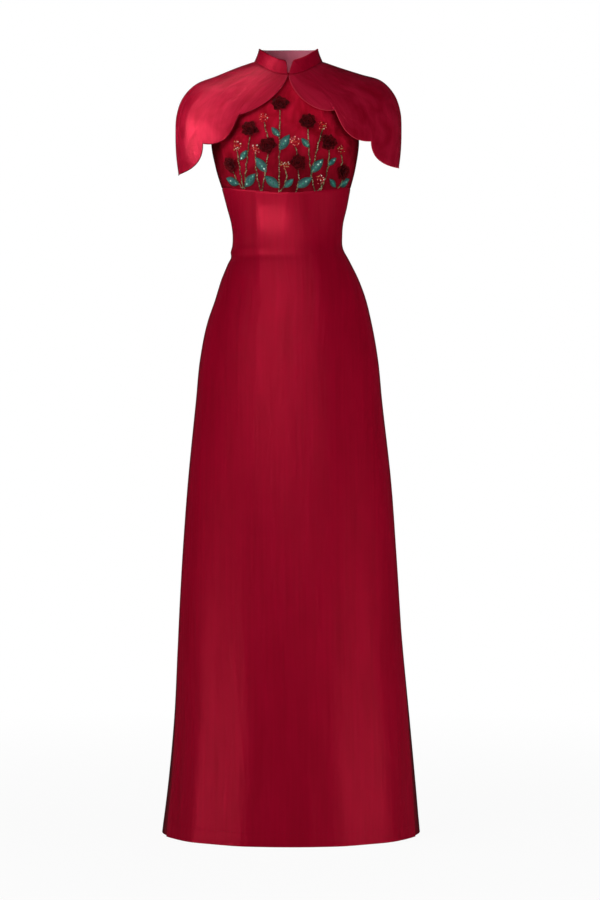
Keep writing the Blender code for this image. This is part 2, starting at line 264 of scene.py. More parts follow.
BODY = [
    Ring(0.235, 0.1240, 0.0920, 0.0880, -0.2510, -0.2350, -0.2350, -0.0045, 0),
    Ring(0.273, 0.1154, 0.0840, 0.0800, -0.2810, -0.2730, -0.2730, -0.0030, 0),
    Ring(0.304, 0.1077, 0.0800, 0.0750, -0.3080, -0.3040, -0.3040, -0.0025, 0),
    Ring(0.327, 0.1055, 0.0790, 0.0730, -0.3280, -0.3270, -0.3270, -0.0020, 0),
    level(0.350, 0.1067, 0.0810, 0.0750, -0.0020),
    level(0.373, 0.1154, 0.0860, 0.0830, 0.0010),
    level(0.412, 0.1327, 0.0940, 0.0980, 0.0030),
    level(0.450, 0.1452, 0.1005, 0.1110, 0.0040),
    level(0.489, 0.1567, 0.1060, 0.1210, 0.0020),
    level(0.565, 0.1712, 0.1160, 0.1320, 0.0010),
    level(0.642, 0.1788, 0.1250, 0.1390, 0.0010),
    level(0.796, 0.1952, 0.1420, 0.1510, 0.0020),
    level(0.950, 0.2070, 0.1580, 0.1640, 0.0020),
    level(1.104, 0.2172, 0.1750, 0.1800, 0.0030),
    level(1.258, 0.2281, 0.1930, 0.1990, 0.0065),
    level(1.377, 0.2389, 0.2060, 0.2140, 0.0065),
    level(1.472, 0.2487, 0.2180, 0.2280, 0.0048),
]

# Soft creases run from one turn and drop to another. A trough has a negative height.
Crease = namedtuple("Crease", "turn drop end_turn end_drop width height")
SKIRT_CREASES = [
    Crease(-128, 0.370, 24, 0.367, 0.0065, -0.0034),
    Crease(-104, 0.356, -18, 0.358, 0.0050, 0.0024),
    Crease(-86, 0.318, -52, 0.328, 0.0050, -0.0012),
    Crease(-84, 0.243, -46, 0.249, 0.0028, 0.0010),
    Crease(84, 0.318, 48, 0.333, 0.0055, -0.0010),
    Crease(88, 0.343, 62, 0.352, 0.0045, -0.0008),
    Crease(-70, 0.262, -40, 0.252, 0.0040, -0.0006),
    Crease(-4, 0.360, -3, 0.940, 0.0160, 0.0014),
    Crease(-14, 0.470, -16, 1.130, 0.0240, -0.0012),
    Crease(13, 0.520, 12, 1.020, 0.0260, -0.0010),
    Crease(34, 0.640, 35, 1.400, 0.0300, -0.0014),
    Crease(-35, 0.700, -33, 1.440, 0.0280, -0.0015),
    Crease(-62, 0.560, -60, 1.300, 0.0240, 0.0012),
    Crease(61, 0.600, 64, 1.360, 0.0260, 0.0012),
    Crease(3, 1.150, 1, 1.470, 0.0220, -0.0016),
    Crease(-9, 1.310, -8, 1.480, 0.0090, 0.0011),
    Crease(-3, 1.360, -2, 1.482, 0.0070, -0.0010),
    Crease(8, 1.340, 9, 1.482, 0.0100, 0.0012),
    Crease(-66, 1.240, -63, 1.480, 0.0160, -0.0015),
    Crease(68, 1.270, 65, 1.480, 0.0180, -0.0014),
    Crease(150, 0.316, 112, 0.334, 0.0060, -0.0012),
    Crease(-148, 0.321, -110, 0.330, 0.0050, -0.0011),
    Crease(132, 0.342, 96, 0.356, 0.0055, -0.0010),
    Crease(-172, 0.349, -128, 0.342, 0.0045, 0.0008),
    Crease(166, 0.500, 163, 1.250, 0.0240, 0.0020),
    Crease(-165, 0.560, -160, 1.330, 0.0260, 0.0022),
    Crease(148, 0.610, 146, 1.440, 0.0300, -0.0022),
    Crease(-146, 0.520, -143, 1.400, 0.0280, -0.0024),
    Crease(130, 0.700, 128, 1.480, 0.0260, 0.0024),
    Crease(-128, 0.760, -127, 1.480, 0.0240, 0.0026),
    Crease(112, 0.820, 111, 1.470, 0.0240, -0.0018),
    Crease(-110, 0.680, -112, 1.450, 0.0260, -0.0017),
    Crease(177, 1.180, 178, 1.480, 0.0140, -0.0014),
    Crease(-174, 1.220, -172, 1.480, 0.0130, 0.0013),
]


def ring_at(rings, place):
    """Reads a smooth curve through the rings at places between them."""
    table = np.array(rings, dtype=float)
    places = table[:, 0]
    slopes = np.gradient(table, places, axis=0)
    low = np.clip(np.searchsorted(places, place) - 1, 0, len(rings) - 2)
    step = (places[low + 1] - places[low])[..., None]
    t = (place - places[low])[..., None] / step
    values = (2 * t**3 - 3 * t**2 + 1) * table[low]
    values = values + (t**3 - 2 * t**2 + t) * step * slopes[low]
    values = values + (3 * t**2 - 2 * t**3) * table[low + 1]
    values = values + (t**3 - t**2) * step * slopes[low + 1]
    return Ring(*np.moveaxis(values, -1, 0))


def ring_points(ring, azimuth, outward):
    """Points of rings, moved level and square to them by outward."""
    side = np.sin(np.radians(azimuth))
    ahead = np.cos(np.radians(azimuth))
    depth = np.where(ahead > 0, ring.front, ring.back)
    z = np.where(ahead > 0, ring.z_front, ring.z_back) * ahead**2 + ring.z_side * side**2
    normal = np.stack([side / ring.half_width, -ahead / depth], axis=-1)
    normal = normal / np.linalg.norm(normal, axis=-1, keepdims=True)
    x = ring.centre_x + ring.half_width * side + normal[..., 0] * outward
    y = -depth * ahead + normal[..., 1] * outward
    return np.stack([x, y, z + ring.tilt * side], axis=-1)


def smoothstep(share):
    share = np.clip(share, 0, 1)
    return share * share * (3 - 2 * share)


def mix(start, end, share):
    return start + (end - start) * share


def bump(distance, run):
    """A soft bell, 1 on its line."""
    return np.exp(-((distance / run) ** 2))


def bust(azimuth, z):
    """How far the bust darts fill out the front."""
    away = np.radians(np.abs(azimuth) - BUST_TURN) * BODY[0].half_width
    return BUST_FULLNESS * np.exp(-(away**2 + (z + BUST_DROP) ** 2) / BUST_SPREAD**2)


def flutes(azimuth, drop):
    """How far the soft flutes of the skirt stand out."""
    height = FLUTE_OUT * smoothstep((drop - FLUTE_TOP) / (HEM - FLUTE_TOP))
    return height * sum(bump(azimuth - turn, FLUTE_SPREAD) for turn in FLUTE_TURNS)


def creased(creases, azimuth, drop, radius):
    """How far the soft creases lift the cloth. Each one fades towards both its ends."""
    lift = 0
    for crease in creases:
        across = np.radians((azimuth - crease.turn + 180) % 360 - 180) * radius
        down = drop - crease.drop
        run_across = np.radians(crease.end_turn - crease.turn) * radius
        run_down = crease.end_drop - crease.drop
        along = (across * run_across + down * run_down) / (run_across**2 + run_down**2)
        along = np.clip(along, 0, 1)
        distance = np.hypot(across - along * run_across, down - along * run_down)
        lift = lift + crease.height * np.sin(pi * along) ** 0.8 * bump(distance, crease.width)
    return lift


# Columns stand this far to either side of a seam or a fold, in metres.
BESIDE_LINE = np.array([-0.0045, -0.0026, -0.0014, -0.0006, 0, 0.0006, 0.0014, 0.0026, 0.0045])


def crowded(count, *lines):
    """Even shares from 0 to 1, with more beside the given lines. A line is a share and a cloth's width."""
    shares = [np.linspace(0, 1, count)]
    for share, width in lines:
        shares.append(share + BESIDE_LINE / width)
    shares = np.unique(np.concatenate(shares))
    shares = shares[(shares >= 0) & (shares <= 1)]
    apart = np.diff(shares, prepend=-1) > 1e-6
    return shares[apart]


def add_piece(name, mesh, slot, *nodes):
    """Makes a finished mesh a piece of the dress that stands for the given nodes."""
    piece = bpy.data.objects.new(name, mesh)
    scene.collection.objects.link(piece)
    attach(piece, "root")
    if nodes:
        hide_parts(*nodes)
    return piece


def add_wall(piece, thickness):
    """Gives a sheet its thickness, inwards."""
    wall = piece.modifiers.new("wall", "SOLIDIFY")
    wall.thickness = thickness
    wall.offset = -1


def grid_mesh(name, points, layer_name, uv):
    """Faces on a grid of points, rows going up and columns to the viewer's right, with a UV map."""
    number = np.arange(points.shape[0] * points.shape[1]).reshape(points.shape[:2])
    corners = np.stack([number[:-1, :-1], number[:-1, 1:], number[1:, 1:], number[1:, :-1]], axis=-1)
    corners = corners.reshape(-1, 4)
    mesh = bpy.data.meshes.new(name)
    mesh.from_pydata(points.reshape(-1, 3).tolist(), [], corners.tolist())
    layer = mesh.uv_layers.new(name=layer_name)
    layer.data.foreach_set("uv", np.stack(uv, axis=-1).reshape(-1, 2)[corners].ravel())
    return mesh


def run_along(points, axis):
    """The way along a grid's rows or columns, in metres of cloth."""
    steps = np.linalg.norm(np.diff(points, axis=axis), axis=-1)
    return np.concatenate([np.zeros_like(steps.take([0], axis)), np.cumsum(steps, axis=axis)], axis=axis)


def lay_cloth(name, points, wall, material, slot, node):
    """A thin shell inside a grid of points. Its UV map is in metres, from the middle of its lower edge."""
    u = run_along(points, 1)
    u = u - u[:, points.shape[1] // 2, None]
    mesh = grid_mesh(name, points, "cloth", (u, run_along(points, 0)))
    mesh.shade_smooth()
    mesh.materials.append(material)
    piece = add_piece(name, mesh, slot, node)
    add_wall(piece, wall)
    return piece


def new_tree(name, kind, inputs, outputs):
    """A node tree of its own. Returns it, its inputs by name, and the sockets of its output node."""
    tree = bpy.data.node_groups.new(name, kind)
    for label, sort, value in inputs:
        socket = tree.interface.new_socket(label, in_out="INPUT", socket_type=f"NodeSocket{sort}")
        if value is not None:
            socket.default_value = value
    for label, sort in outputs:
        tree.interface.new_socket(label, in_out="OUTPUT", socket_type=f"NodeSocket{sort}")
    return tree, tree.nodes.new("NodeGroupInput").outputs, tree.nodes.new("NodeGroupOutput").inputs


# Weave of the cloths: rounded warp threads with the weft's short dips across them, every fifth thread
# for satin and every second for plain cloth. Shade gathers the slubs and the soft mottling, both drawn
# out along the warp.
WEFT_DIP = 0.7
WARP_STEP = 0.4
SLUB_WAVES = (170, 3.2, 1)
CLOUD_WAVES = (26, 9, 1)
GLOSS_SPREAD = 0.05
weave, given, made = new_tree(
    "weave",
    "ShaderNodeTree",
    [
        ("Cloth", "Vector", None),
        ("Thread", "Float", 0.00035),
        ("Float", "Float", 5.0),
        ("Streaks", "Float", 0.5),
        ("Mottling", "Float", 0.5),
    ],
    [("Height", "Float"), ("Shade", "Float")],
)
on = add_node(weave, "ShaderNodeSeparateXYZ", {0: given["Cloth"]}).node.outputs
warp = math_node(weave, "DIVIDE", on["X"], given["Thread"])
weft = math_node(weave, "DIVIDE", on["Y"], given["Thread"])
crown = math_node(weave, "ABSOLUTE", math_node(weave, "SINE", product(weave, warp, pi)))
stagger = product(weave, math_node(weave, "FLOOR", warp), WARP_STEP)
beat = math_node(weave, "ADD", math_node(weave, "DIVIDE", weft, given["Float"]), stagger)
beat = math_node(weave, "FRACT", beat)
dip = math_node(weave, "LESS_THAN", beat, math_node(weave, "DIVIDE", 1.0, given["Float"]))
height = math_node(weave, "SUBTRACT", crown, product(weave, dip, WEFT_DIP))
weave.links.new(height, made["Height"])


def drawn_noise(waves, detail, strength):
    """Noise round 0 that is drawn out along the warp."""
    drawn = add_node(weave, "ShaderNodeVectorMath", {0: given["Cloth"], 1: waves}, operation="MULTIPLY")
    even = math_node(weave, "SUBTRACT", noise(weave, drawn, 1.0, detail), 0.5)
    return product(weave, even, given[strength])


shade = math_node(
    weave, "ADD", drawn_noise(SLUB_WAVES, 4.0, "Streaks"), drawn_noise(CLOUD_WAVES, 3.0, "Mottling")
)
shade = math_node(weave, "ADD", shade, 0.5)
weave.links.new(add_node(weave, "ShaderNodeClamp", {0: shade}), made["Shade"])


def woven(name, dark, light, thread, float_length, streaks, mottling, roughness, relief, drape, rim, shader):
    """A woven cloth that runs from dark to light. shader holds the fixed values of its surface.

    drape is how many soft waves the cloth has to a metre across and along, their depth, and how much
    paler their crests are painted, a painted highlight. rim is where the painted shade on the cloth's
    turned-away edges starts and ends, and how dark it gets.
    """
    material, tree, surface = new_material(name)
    waves_across, waves_along, depth, patches = drape
    painted_shade_start, painted_shade_end, painted_shade_darkest = rim
    uv = add_node(tree, "ShaderNodeUVMap", uv_map="cloth")
    threads = {"Cloth": uv, "Thread": thread, "Float": float_length, "Streaks": streaks, "Mottling": mottling}
    cloth = add_node(tree, "ShaderNodeGroup", threads, node_tree=weave).node.outputs
    limits = (roughness + GLOSS_SPREAD, roughness - GLOSS_SPREAD)
    rough = map_range(tree, cloth["Shade"], 0.0, 1.0, *limits)
    waves = (waves_across, waves_along, 0)
    waved = add_node(tree, "ShaderNodeVectorMath", {0: uv, 1: waves}, operation="MULTIPLY")
    wave = noise(tree, waved, 1.0, 2.0, 0.6)
    # The crests of the soft waves are painted paler than their hollows: a painted highlight.
    crest_highlight = math_node(tree, "MULTIPLY_ADD", wave, patches, -patches / 2)
    colour = blend(tree, math_node(tree, "ADD", cloth["Shade"], crest_highlight), dark, light)
    soft = add_node(tree, "ShaderNodeBump", {"Height": wave, "Strength": 1.0, "Distance": depth})
    raised = {"Height": cloth["Height"], "Strength": relief, "Distance": thread / 4, "Normal": soft}
    # The cloth is painted darker as it turns away from the view: painted shade at its edges.
    turned = add_node(tree, "ShaderNodeLayerWeight", {"Blend": 0.5}, out="Facing")
    shaded = scaled(tree, colour, map_range(tree, turned, painted_shade_start, painted_shade_end, 1.0, painted_shade_darkest))
    normal = add_node(tree, "ShaderNodeBump", raised)
    feed(tree, surface, {"Base Color": shaded, "Roughness": rough, "Normal": normal, **shader})
    return material


def red_satin(name, drape, rim, light=(0.440, 0.0010, 0.025)):
    """The dress's satin, as it drapes on one of its parts."""
    return woven(
        name,
        dark=(0.310, 0.0006, 0.015),
        light=light,
        thread=0.00035,
        float_length=5.0,
        streaks=0.9,
        mottling=0.7,
        roughness=0.36,
        relief=0.35,
        drape=drape,
        rim=rim,
        shader={"Metallic": 0.35, "Specular IOR Level": 0.15},
    )


front_satin = red_satin("front_satin", drape=(46, 6, 0.0016, 0.6), rim=(0.70, 0.98, 0.25))


def front_flap_edge(drop):
    """Turn of the front panel's side edge: the seam down to SLIT_TOP, then the free edge."""
    share = np.maximum(drop - SLIT_TOP, 0) / (HEM - SLIT_TOP)
    return 90 - FLAP_TURN * share**FLAP_EASE


def skirt_rows(count):
    """Drops of a skirt panel's rows from the hem up to the top seam, where they lap in under the yoke."""
    top = BODY[0].place
    turn = (HEM_TURN / (HEM - top), HEM - top)
    slit = ((HEM - SLIT_TOP) / (HEM - top), HEM - top)
    rows = crowded(count, (0, HEM - top), turn, slit, (1, HEM - top))
    return (HEM - rows * (HEM - top + SEAM_LAP))[:, None]


def panel_relief(drop, from_edge):
    """The sewn-in top seam, the dip beside a side seam, and the turned hem and free edges."""
    seam = -SEAM_TUCK * bump(np.maximum(drop - BODY[0].place, 0), SEAM_DIP_RUN)
    sewn = smoothstep((SLIT_TOP + SLIT_BLEND - drop) / SLIT_BLEND)
    seam = seam - SEAM_DIP * sewn * bump(from_edge, SEAM_DIP_RUN)
    hem = smoothstep((drop - HEM + HEM_TURN) / FOLD_BLEND + 0.5)
    edge = (1 - sewn) * smoothstep((EDGE_TURN - from_edge) / FOLD_BLEND + 0.5)
    return seam + TURN_UP * np.maximum(hem, edge)


def front_panel_points(drop, share):
    ring = ring_at(BODY, drop)
    edge = front_flap_edge(drop)
    dart = np.degrees(np.arcsin(DART_OUT / ring.half_width))
    fall = smoothstep((drop - DART_FALL[0]) / (DART_FALL[1] - DART_FALL[0]))
    dart = mix(dart, DART_END_TURN, fall)
    aside = np.abs(share - 0.5)
    outer = mix(edge, dart, np.minimum(np.minimum(share, 1 - share) / DART_SHARE, 1))
    inner = dart * aside / (0.5 - DART_SHARE)
    azimuth = np.sign(share - 0.5) * np.where(aside > 0.5 - DART_SHARE, outer, inner)
    from_dart = np.radians(np.abs(azimuth) - dart) * ring.half_width
    fade = smoothstep((DART_FADE_END - drop) / DART_FADE_RUN)
    ridge = np.where(azimuth < 0, DART_RIDGE[-1], DART_RIDGE[1])
    dart_line = ridge * np.exp(-np.sqrt(from_dart**2 + DART_ROUNDING) / DART_RIDGE_RUN)
    dart_line = dart_line - DART_DIP * bump(from_dart, SEAM_DIP_RUN)
    from_edge = np.radians(edge - np.abs(azimuth)) * ring.front
    z = ring_points(ring, azimuth, 0)[..., 2]
    outward = bust(azimuth, z) + flutes(azimuth, drop) + fade * dart_line
    outward = outward + creased(SKIRT_CREASES, azimuth, drop, ring.half_width)
    return ring_points(ring, azimuth, outward + panel_relief(drop, from_edge))


panel_columns = crowded(110, (0, 0.45), (DART_SHARE, 0.3), (1 - DART_SHARE, 0.3), (1, 0.45))[None, :]
front_panel = lay_cloth(
    "front_panel_satin",
    front_panel_points(skirt_rows(220), panel_columns),
    SATIN_WALL,
    front_satin,
    "satin",
    "front_panel",
)


# Back panels. Two widths of the same satin, joined by the centre back seam, whose concealed zip is shut.
# Below the slits their free edges run in behind the front panel's.
TUCK_DEPTH = 0.0045
TUCK_DEPTH_RUN = 0.060
TUCK_WIDTH = 0.012
TUCK_WIDTH_START = 0.030
TUCK_WIDTH_RUN = 0.150
TUCK_FROM = 98.0
TUCK_FULL = 1.0
SIDES = ((-1, "left"), (1, "right"))

# Its sides are painted darker than the front panel's as they turn away: painted shade along the slits.
back_satin = red_satin("back_satin", drape=(46, 6, 0.0016, 0.6), rim=(0.58, 0.88, 0.20))


def back_panel_points(side, drop, share):
    share = share if side > 0 else 1 - share
    ring = ring_at(BODY, drop)
    tuck = TUCK_WIDTH * smoothstep((drop - SLIT_TOP - TUCK_WIDTH_START) / TUCK_WIDTH_RUN)
    near = front_flap_edge(drop) - np.degrees(tuck / ring.front)
    azimuth = mix(near, 180, share)
    turned = (TUCK_FROM - azimuth) / (TUCK_FROM - front_flap_edge(drop) - TUCK_FULL)
    depth = TUCK_DEPTH * smoothstep((drop - SLIT_TOP) / TUCK_DEPTH_RUN) * smoothstep(turned)
    from_edge = np.radians(azimuth - near) * ring.front
    from_middle = np.radians(180 - azimuth) * ring.half_width
    outward = creased(SKIRT_CREASES, side * azimuth, drop, ring.half_width) - depth
    outward = outward + panel_relief(drop, from_edge) - SEAM_DIP * bump(from_middle, SEAM_DIP_RUN)
    return ring_points(ring, side * azimuth, outward)


back_columns = crowded(62, (0, 0.3), (1, 0.3))[None, :]
for side, word in SIDES:
    back_panel = lay_cloth(
        f"back_panel_satin_{word}",
        back_panel_points(side, skirt_rows(200), back_columns),
        SATIN_WALL,
        back_satin,
        "satin",
        f"back_panel_{word}",
    )


# Yoke. Sleeveless, of dull red cloth under a fine net that lies a little slack over it, so the net
# folds softly at the armpits. It ends at the underbust seam.
ARMHOLE_CUT = 35.0
ARMHOLE_FROM = 2.0
ARMHOLE_TO = 4.0
YOKE_WALL = 0.0010
YOKE_ROW = 0.045
# Heights and shares of the yoke's painted shade, from the underbust seam up.
PAINTED_SHADE_HEIGHTS = (-0.235, -0.090)
PAINTED_SHADE_SHARES = (0.50, 1.45)
YOKE = [
    Ring(0, 0.1240, 0.0920, 0.0880, -0.2507, -0.2347, -0.2347, -0.0045, 0),
    Ring(1, 0.1346, 0.0980, 0.0940, -0.2050, -0.1960, -0.1960, -0.0055, 0),
    Ring(2, 0.1423, 0.1000, 0.1000, -0.1500, -0.1440, -0.1440, -0.0065, 0),
    Ring(3, 0.1350, 0.0960, 0.1010, -0.1150, -0.0850, -0.0920, -0.0050, 0),
    Ring(4, 0.1180, 0.0860, 0.0930, -0.0780, -0.0200, -0.0500, -0.0020, 0),
    Ring(5, 0.0900, 0.0745, 0.0780, -0.0500, -0.0085, -0.0200, 0, 0),
    Ring(6, 0.0645, 0.0640, 0.0560, -0.0258, 0.0062, 0.0102, 0, 0),
]
YOKE_CREASES = [
    Crease(-66, 0.128, -34, 0.100, 0.0035, -0.0018),
    Crease(-70, 0.139, -40, 0.122, 0.0028, 0.0012),
    Crease(-72, 0.152, -30, 0.131, 0.0040, -0.0016),
    Crease(-60, 0.166, -46, 0.158, 0.0030, -0.0010),
    Crease(68, 0.131, 38, 0.106, 0.0038, -0.0016),
    Crease(72, 0.147, 44, 0.137, 0.0030, 0.0012),
    Crease(64, 0.168, 50, 0.160, 0.0034, -0.0010),
    Crease(-82, 0.222, -56, 0.231, 0.0036, -0.0012),
    Crease(80, 0.219, 58, 0.229, 0.0036, -0.0012),
    Crease(118, 0.130, 146, 0.108, 0.0045, -0.0018),
    Crease(-114, 0.136, -142, 0.112, 0.0040, -0.0020),
    Crease(104, 0.158, 140, 0.150, 0.0045, 0.0014),
    Crease(-106, 0.165, -134, 0.155, 0.0040, -0.0012),
    Crease(112, 0.214, 138, 0.226, 0.0040, -0.0014),
    Crease(-116, 0.211, -150, 0.223, 0.0040, -0.0014),
]

yoke_cloth = woven(
    "yoke_net_over_cloth",
    dark=(0.180, 0.0008, 0.0055),
    light=(0.480, 0.0056, 0.0280),
    thread=0.00080,
    float_length=2.0,
    streaks=0.3,
    mottling=1.0,
    roughness=0.62,
    relief=0.7,
    drape=(40, 30, 0.0030, 1.5),
    rim=(0.50, 0.93, 0.20),
    shader={"Specular IOR Level": 0.02},
)

# The cloth is painted darker towards the underbust seam and paler towards the neck: painted shade below and
# painted light above.
tree = yoke_cloth.node_tree
surface = tree.nodes["Principled BSDF"]
fade = map_range(tree, object_place(tree, "Z"), *PAINTED_SHADE_HEIGHTS, *PAINTED_SHADE_SHARES)
cloth_colour = surface.inputs["Base Color"].links[0].from_socket
feed(tree, surface, {"Base Color": scaled(tree, cloth_colour, fade)})


def armhole_edge(place):
    """Turn of the yoke's side edge: the side seam, the armhole's curve, then the shoulder seam."""
    share = np.clip((place - ARMHOLE_FROM) / (ARMHOLE_TO - ARMHOLE_FROM), 0, 1)
    return ARMHOLE_CUT * np.sin(pi * share)


def yoke_relief(place, from_edge):
    """The dips beside the underbust, side, shoulder and neck seams."""
    drop = np.minimum(place, YOKE[-1].place - place) * YOKE_ROW
    return -SEAM_DIP * np.maximum(bump(drop, SEAM_DIP_RUN), bump(from_edge, SEAM_DIP_RUN))


def front_yoke_points(place, share):
    ring = ring_at(YOKE, place)
    edge = 90 - armhole_edge(place)
    azimuth = mix(-edge, edge, share)
    from_edge = np.radians(edge - np.abs(azimuth)) * ring.front
    z = ring_points(ring, azimuth, 0)[..., 2]
    outward = bust(azimuth, z) + creased(YOKE_CREASES, azimuth, -z, ring.half_width)
    return ring_points(ring, azimuth, outward + yoke_relief(place, from_edge))


def back_yoke_points(side, place, share):
    share = share if side > 0 else 1 - share
    ring = ring_at(YOKE, place)
    near = 90 + armhole_edge(place)
    azimuth = mix(near, 180, share)
    from_edge = np.radians(np.minimum(azimuth - near, 180 - azimuth)) * ring.front
    z = ring_points(ring, side * azimuth, 0)[..., 2]
    outward = creased(YOKE_CREASES, side * azimuth, -z, ring.half_width)
    return ring_points(ring, side * azimuth, outward + yoke_relief(place, from_edge))


yoke_rows = crowded(80, (0, 0.27), (1, 0.27))[:, None] * YOKE[-1].place
front_yoke = lay_cloth(
    "front_yoke_cloth",
    front_yoke_points(yoke_rows, crowded(110, (0, 0.3), (1, 0.3))[None, :]),
    YOKE_WALL,
    yoke_cloth,
    "yoke",
    "front_yoke",
)
for side, word in SIDES:
    back_yoke = lay_cloth(
        f"back_yoke_cloth_{word}",
        back_yoke_points(side, yoke_rows, crowded(54, (0, 0.15), (1, 0.15))[None, :]),
        YOKE_WALL,
        yoke_cloth,
        "yoke",
        f"back_yoke_{word}",
    )


# Sewing along paths. Rolled edges and threads are tubes along a path, and beads and stitches are strung
# on one, each a little different from the next, as hand work leaves them.
def new_geometry_tree(name, inputs):
    """A geometry tree that takes a material too."""
    inputs = [("Geometry", "Geometry", None), *inputs, ("Material", "Material", None)]
    return new_tree(name, "GeometryNodeTree", inputs, [("Geometry", "Geometry")])


def finish_tree(tree, geometry, given, made, smooth=True):
    """Ends a geometry tree in real faces with their material, and returns it."""
    real = add_node(tree, "GeometryNodeRealizeInstances", {"Geometry": geometry})
    if smooth:
        real = add_node(tree, "GeometryNodeSetShadeSmooth", {"Geometry": real})
    dressed = {"Geometry": real, "Material": given["Material"]}
    tree.links.new(add_node(tree, "GeometryNodeSetMaterial", dressed), made["Geometry"])
    return tree


def grow(name, mesh, tree, material, values, wall=0):
    """Runs a geometry tree on a mesh, given a wall first where asked, and returns the plain mesh."""
    carrier = bpy.data.objects.new(name, mesh)
    scene.collection.objects.link(carrier)
    if wall:
        add_wall(carrier, wall)
    nodes = carrier.modifiers.new("nodes", "NODES")
    nodes.node_group = tree
    values = {**values, "Material": material}
    for item in tree.interface.items_tree:
        if item.in_out == "INPUT" and item.name in values:
            nodes[item.identifier] = values[item.name]
    evaluated = carrier.evaluated_get(bpy.context.evaluated_depsgraph_get())
    grown = bpy.data.meshes.new_from_object(evaluated)
    grown.name = name
    bpy.data.objects.remove(carrier)
    return grown


def add_grown(name, slot, *making):
    """Adds what a geometry tree grows as a piece that stands for no node."""
    add_piece(name, grow(name, *making), slot)


def path_mesh(paths):
    """A mesh of edges along each path."""
    verts, edges = [], []
    for path in paths:
        start = len(verts)
        verts.extend(tuple(point) for point in path)
        edges.extend((start + i, start + i + 1) for i in range(len(path) - 1))
    mesh = bpy.data.meshes.new("paths")
    mesh.from_pydata(verts, edges, [])
    return mesh


tree, given, made = new_geometry_tree("tube_on_path", [("Radius", "Float", 0.001), ("Sides", "Int", 8)])
path = add_node(tree, "GeometryNodeMeshToCurve", {"Mesh": given["Geometry"]})
section = {"Resolution": given["Sides"], "Radius": given["Radius"]}
section = add_node(tree, "GeometryNodeCurvePrimitiveCircle", section)
tube = {"Curve": path, "Profile Curve": section, "Fill Caps": True}
tube_tree = finish_tree(tree, add_node(tree, "GeometryNodeCurveToMesh", tube), given, made)


def random_value(tree, low, high, seed):
    limits = {2: low, 3: high, "Seed": seed}
    return add_node(tree, "FunctionNodeRandomValue", limits, out=1, data_type="FLOAT")


def set_out(tree, points, instance, rotation, scale):
    """One instance on each point."""
    inputs = {"Points": points, "Instance": instance, "Rotation": rotation, "Scale": scale}
    return add_node(tree, "GeometryNodeInstanceOnPoints", inputs)


def tinted(tree, instances, seed):
    """Gives each instance a tint of its own from 0 to 1, which its material reads."""
    tint = {"Geometry": instances, "Name": "tint", "Value": random_value(tree, 0.0, 1.0, seed)}
    return add_node(tree, "GeometryNodeStoreNamedAttribute", tint, data_type="FLOAT", domain="INSTANCE")


def turned_by(tree, x=0.0, y=0.0, z=0.0):
    angles = add_node(tree, "ShaderNodeCombineXYZ", {"X": x, "Y": y, "Z": z})
    return add_node(tree, "FunctionNodeEulerToRotation", {0: angles})


# Beads lean to one side and the other by turns, and each has its own size.
BEAD_SIZES = (0.82, 1.12)
tree, given, made = new_geometry_tree(
    "beads_on_path",
    [
        ("Spacing", "Float", 0.002),
        ("Width", "Float", 0.001),
        ("Length", "Float", 0.002),
        ("Tilt", "Float", 0.0),
        ("Sides", "Int", 6),
        ("Seed", "Int", 0),
    ],
)
path = add_node(tree, "GeometryNodeMeshToCurve", {"Mesh": given["Geometry"]})
spaced = {"Curve": path, "Length": given["Spacing"]}
spaced = add_node(tree, "GeometryNodeResampleCurve", spaced, mode="LENGTH")
tangent = add_node(tree, "GeometryNodeInputTangent")
along = add_node(tree, "FunctionNodeAlignRotationToVector", {"Vector": tangent}, axis="Z")
number = add_node(tree, "GeometryNodeInputIndex")
turn = math_node(tree, "MULTIPLY_ADD", math_node(tree, "MODULO", number, 2.0), 2.0, -1.0)
lean = product(tree, turn, given["Tilt"])
turned = {"Rotation": along, "Rotate By": turned_by(tree, y=lean)}
turned = add_node(tree, "FunctionNodeRotateRotation", turned, rotation_space="LOCAL")
wide = product(tree, given["Width"], 0.5)
long = product(tree, given["Length"], 0.5)
shape = add_node(tree, "ShaderNodeCombineXYZ", {"X": wide, "Y": wide, "Z": long})
size = scaled(tree, shape, random_value(tree, *BEAD_SIZES, given["Seed"]))
bead = add_node(tree, "GeometryNodeMeshUVSphere", {"Segments": given["Sides"], "Rings": 5, "Radius": 1.0})
strung = tinted(tree, set_out(tree, spaced, bead, turned, size), given["Seed"])
bead_tree = finish_tree(tree, strung, given, made)


# Collar. Two halves of the same satin over interfacing, joined at the centre back. Their rounded front
# ends lean apart in a narrow notch, and a rolled edge runs round them.
COLLAR_END = 1.5
COLLAR_END_EASE = 1.5
COLLAR_CORNER_RUN = 0.06
COLLAR_CROWDING = 1.25
COLLAR_END_LEAN = {-1: 2.6, 1: 6.6}
COLLAR_CORNER = 0.16
COLLAR_WALL = 0.0013
LINING_INSET = 0.0022
LINING_DROP = 0.02
FACING_DROP = 1.4
FACING_INSET = 0.0035
FACING_FROM = 0.25
FACING_RUN = 0.4
LINING_WALL = 0.0010
COLLAR_ROLL = 0.0007
# Where the rolled edge's painted highlight starts and ends, in metres across the front.
ROLL_PAINTED_LIGHT_FROM = -0.002
ROLL_PAINTED_LIGHT_TO = 0.004
COLLAR = [
    Ring(0, 0.0655, 0.0660, 0.0570, -0.0232, 0.0088, 0.0128, 0, 0),
    Ring(1, 0.0605, 0.0615, 0.0525, -0.0100, 0.0205, 0.0245, 0, 0),
    Ring(2, 0.0567, 0.0580, 0.0495, 0.0035, 0.0325, 0.0368, 0, 0),
]


def collar_points(side, inset, drop, share, rise):
    """The stand collar from its leaning, rounded front end to the centre back."""
    share = share if side > 0 else 1 - share
    corner = COLLAR_CORNER * np.maximum(1 - share / COLLAR_CORNER_RUN, 0) ** 2
    place = COLLAR[-1].place * rise * (1 - corner - drop)
    ring = ring_at(COLLAR, place)
    near = COLLAR_END + COLLAR_END_LEAN[side] * np.maximum(rise, 0) ** COLLAR_END_EASE
    azimuth = mix(near, 180, share**COLLAR_CROWDING)
    return ring_points(ring, side * azimuth, -inset)


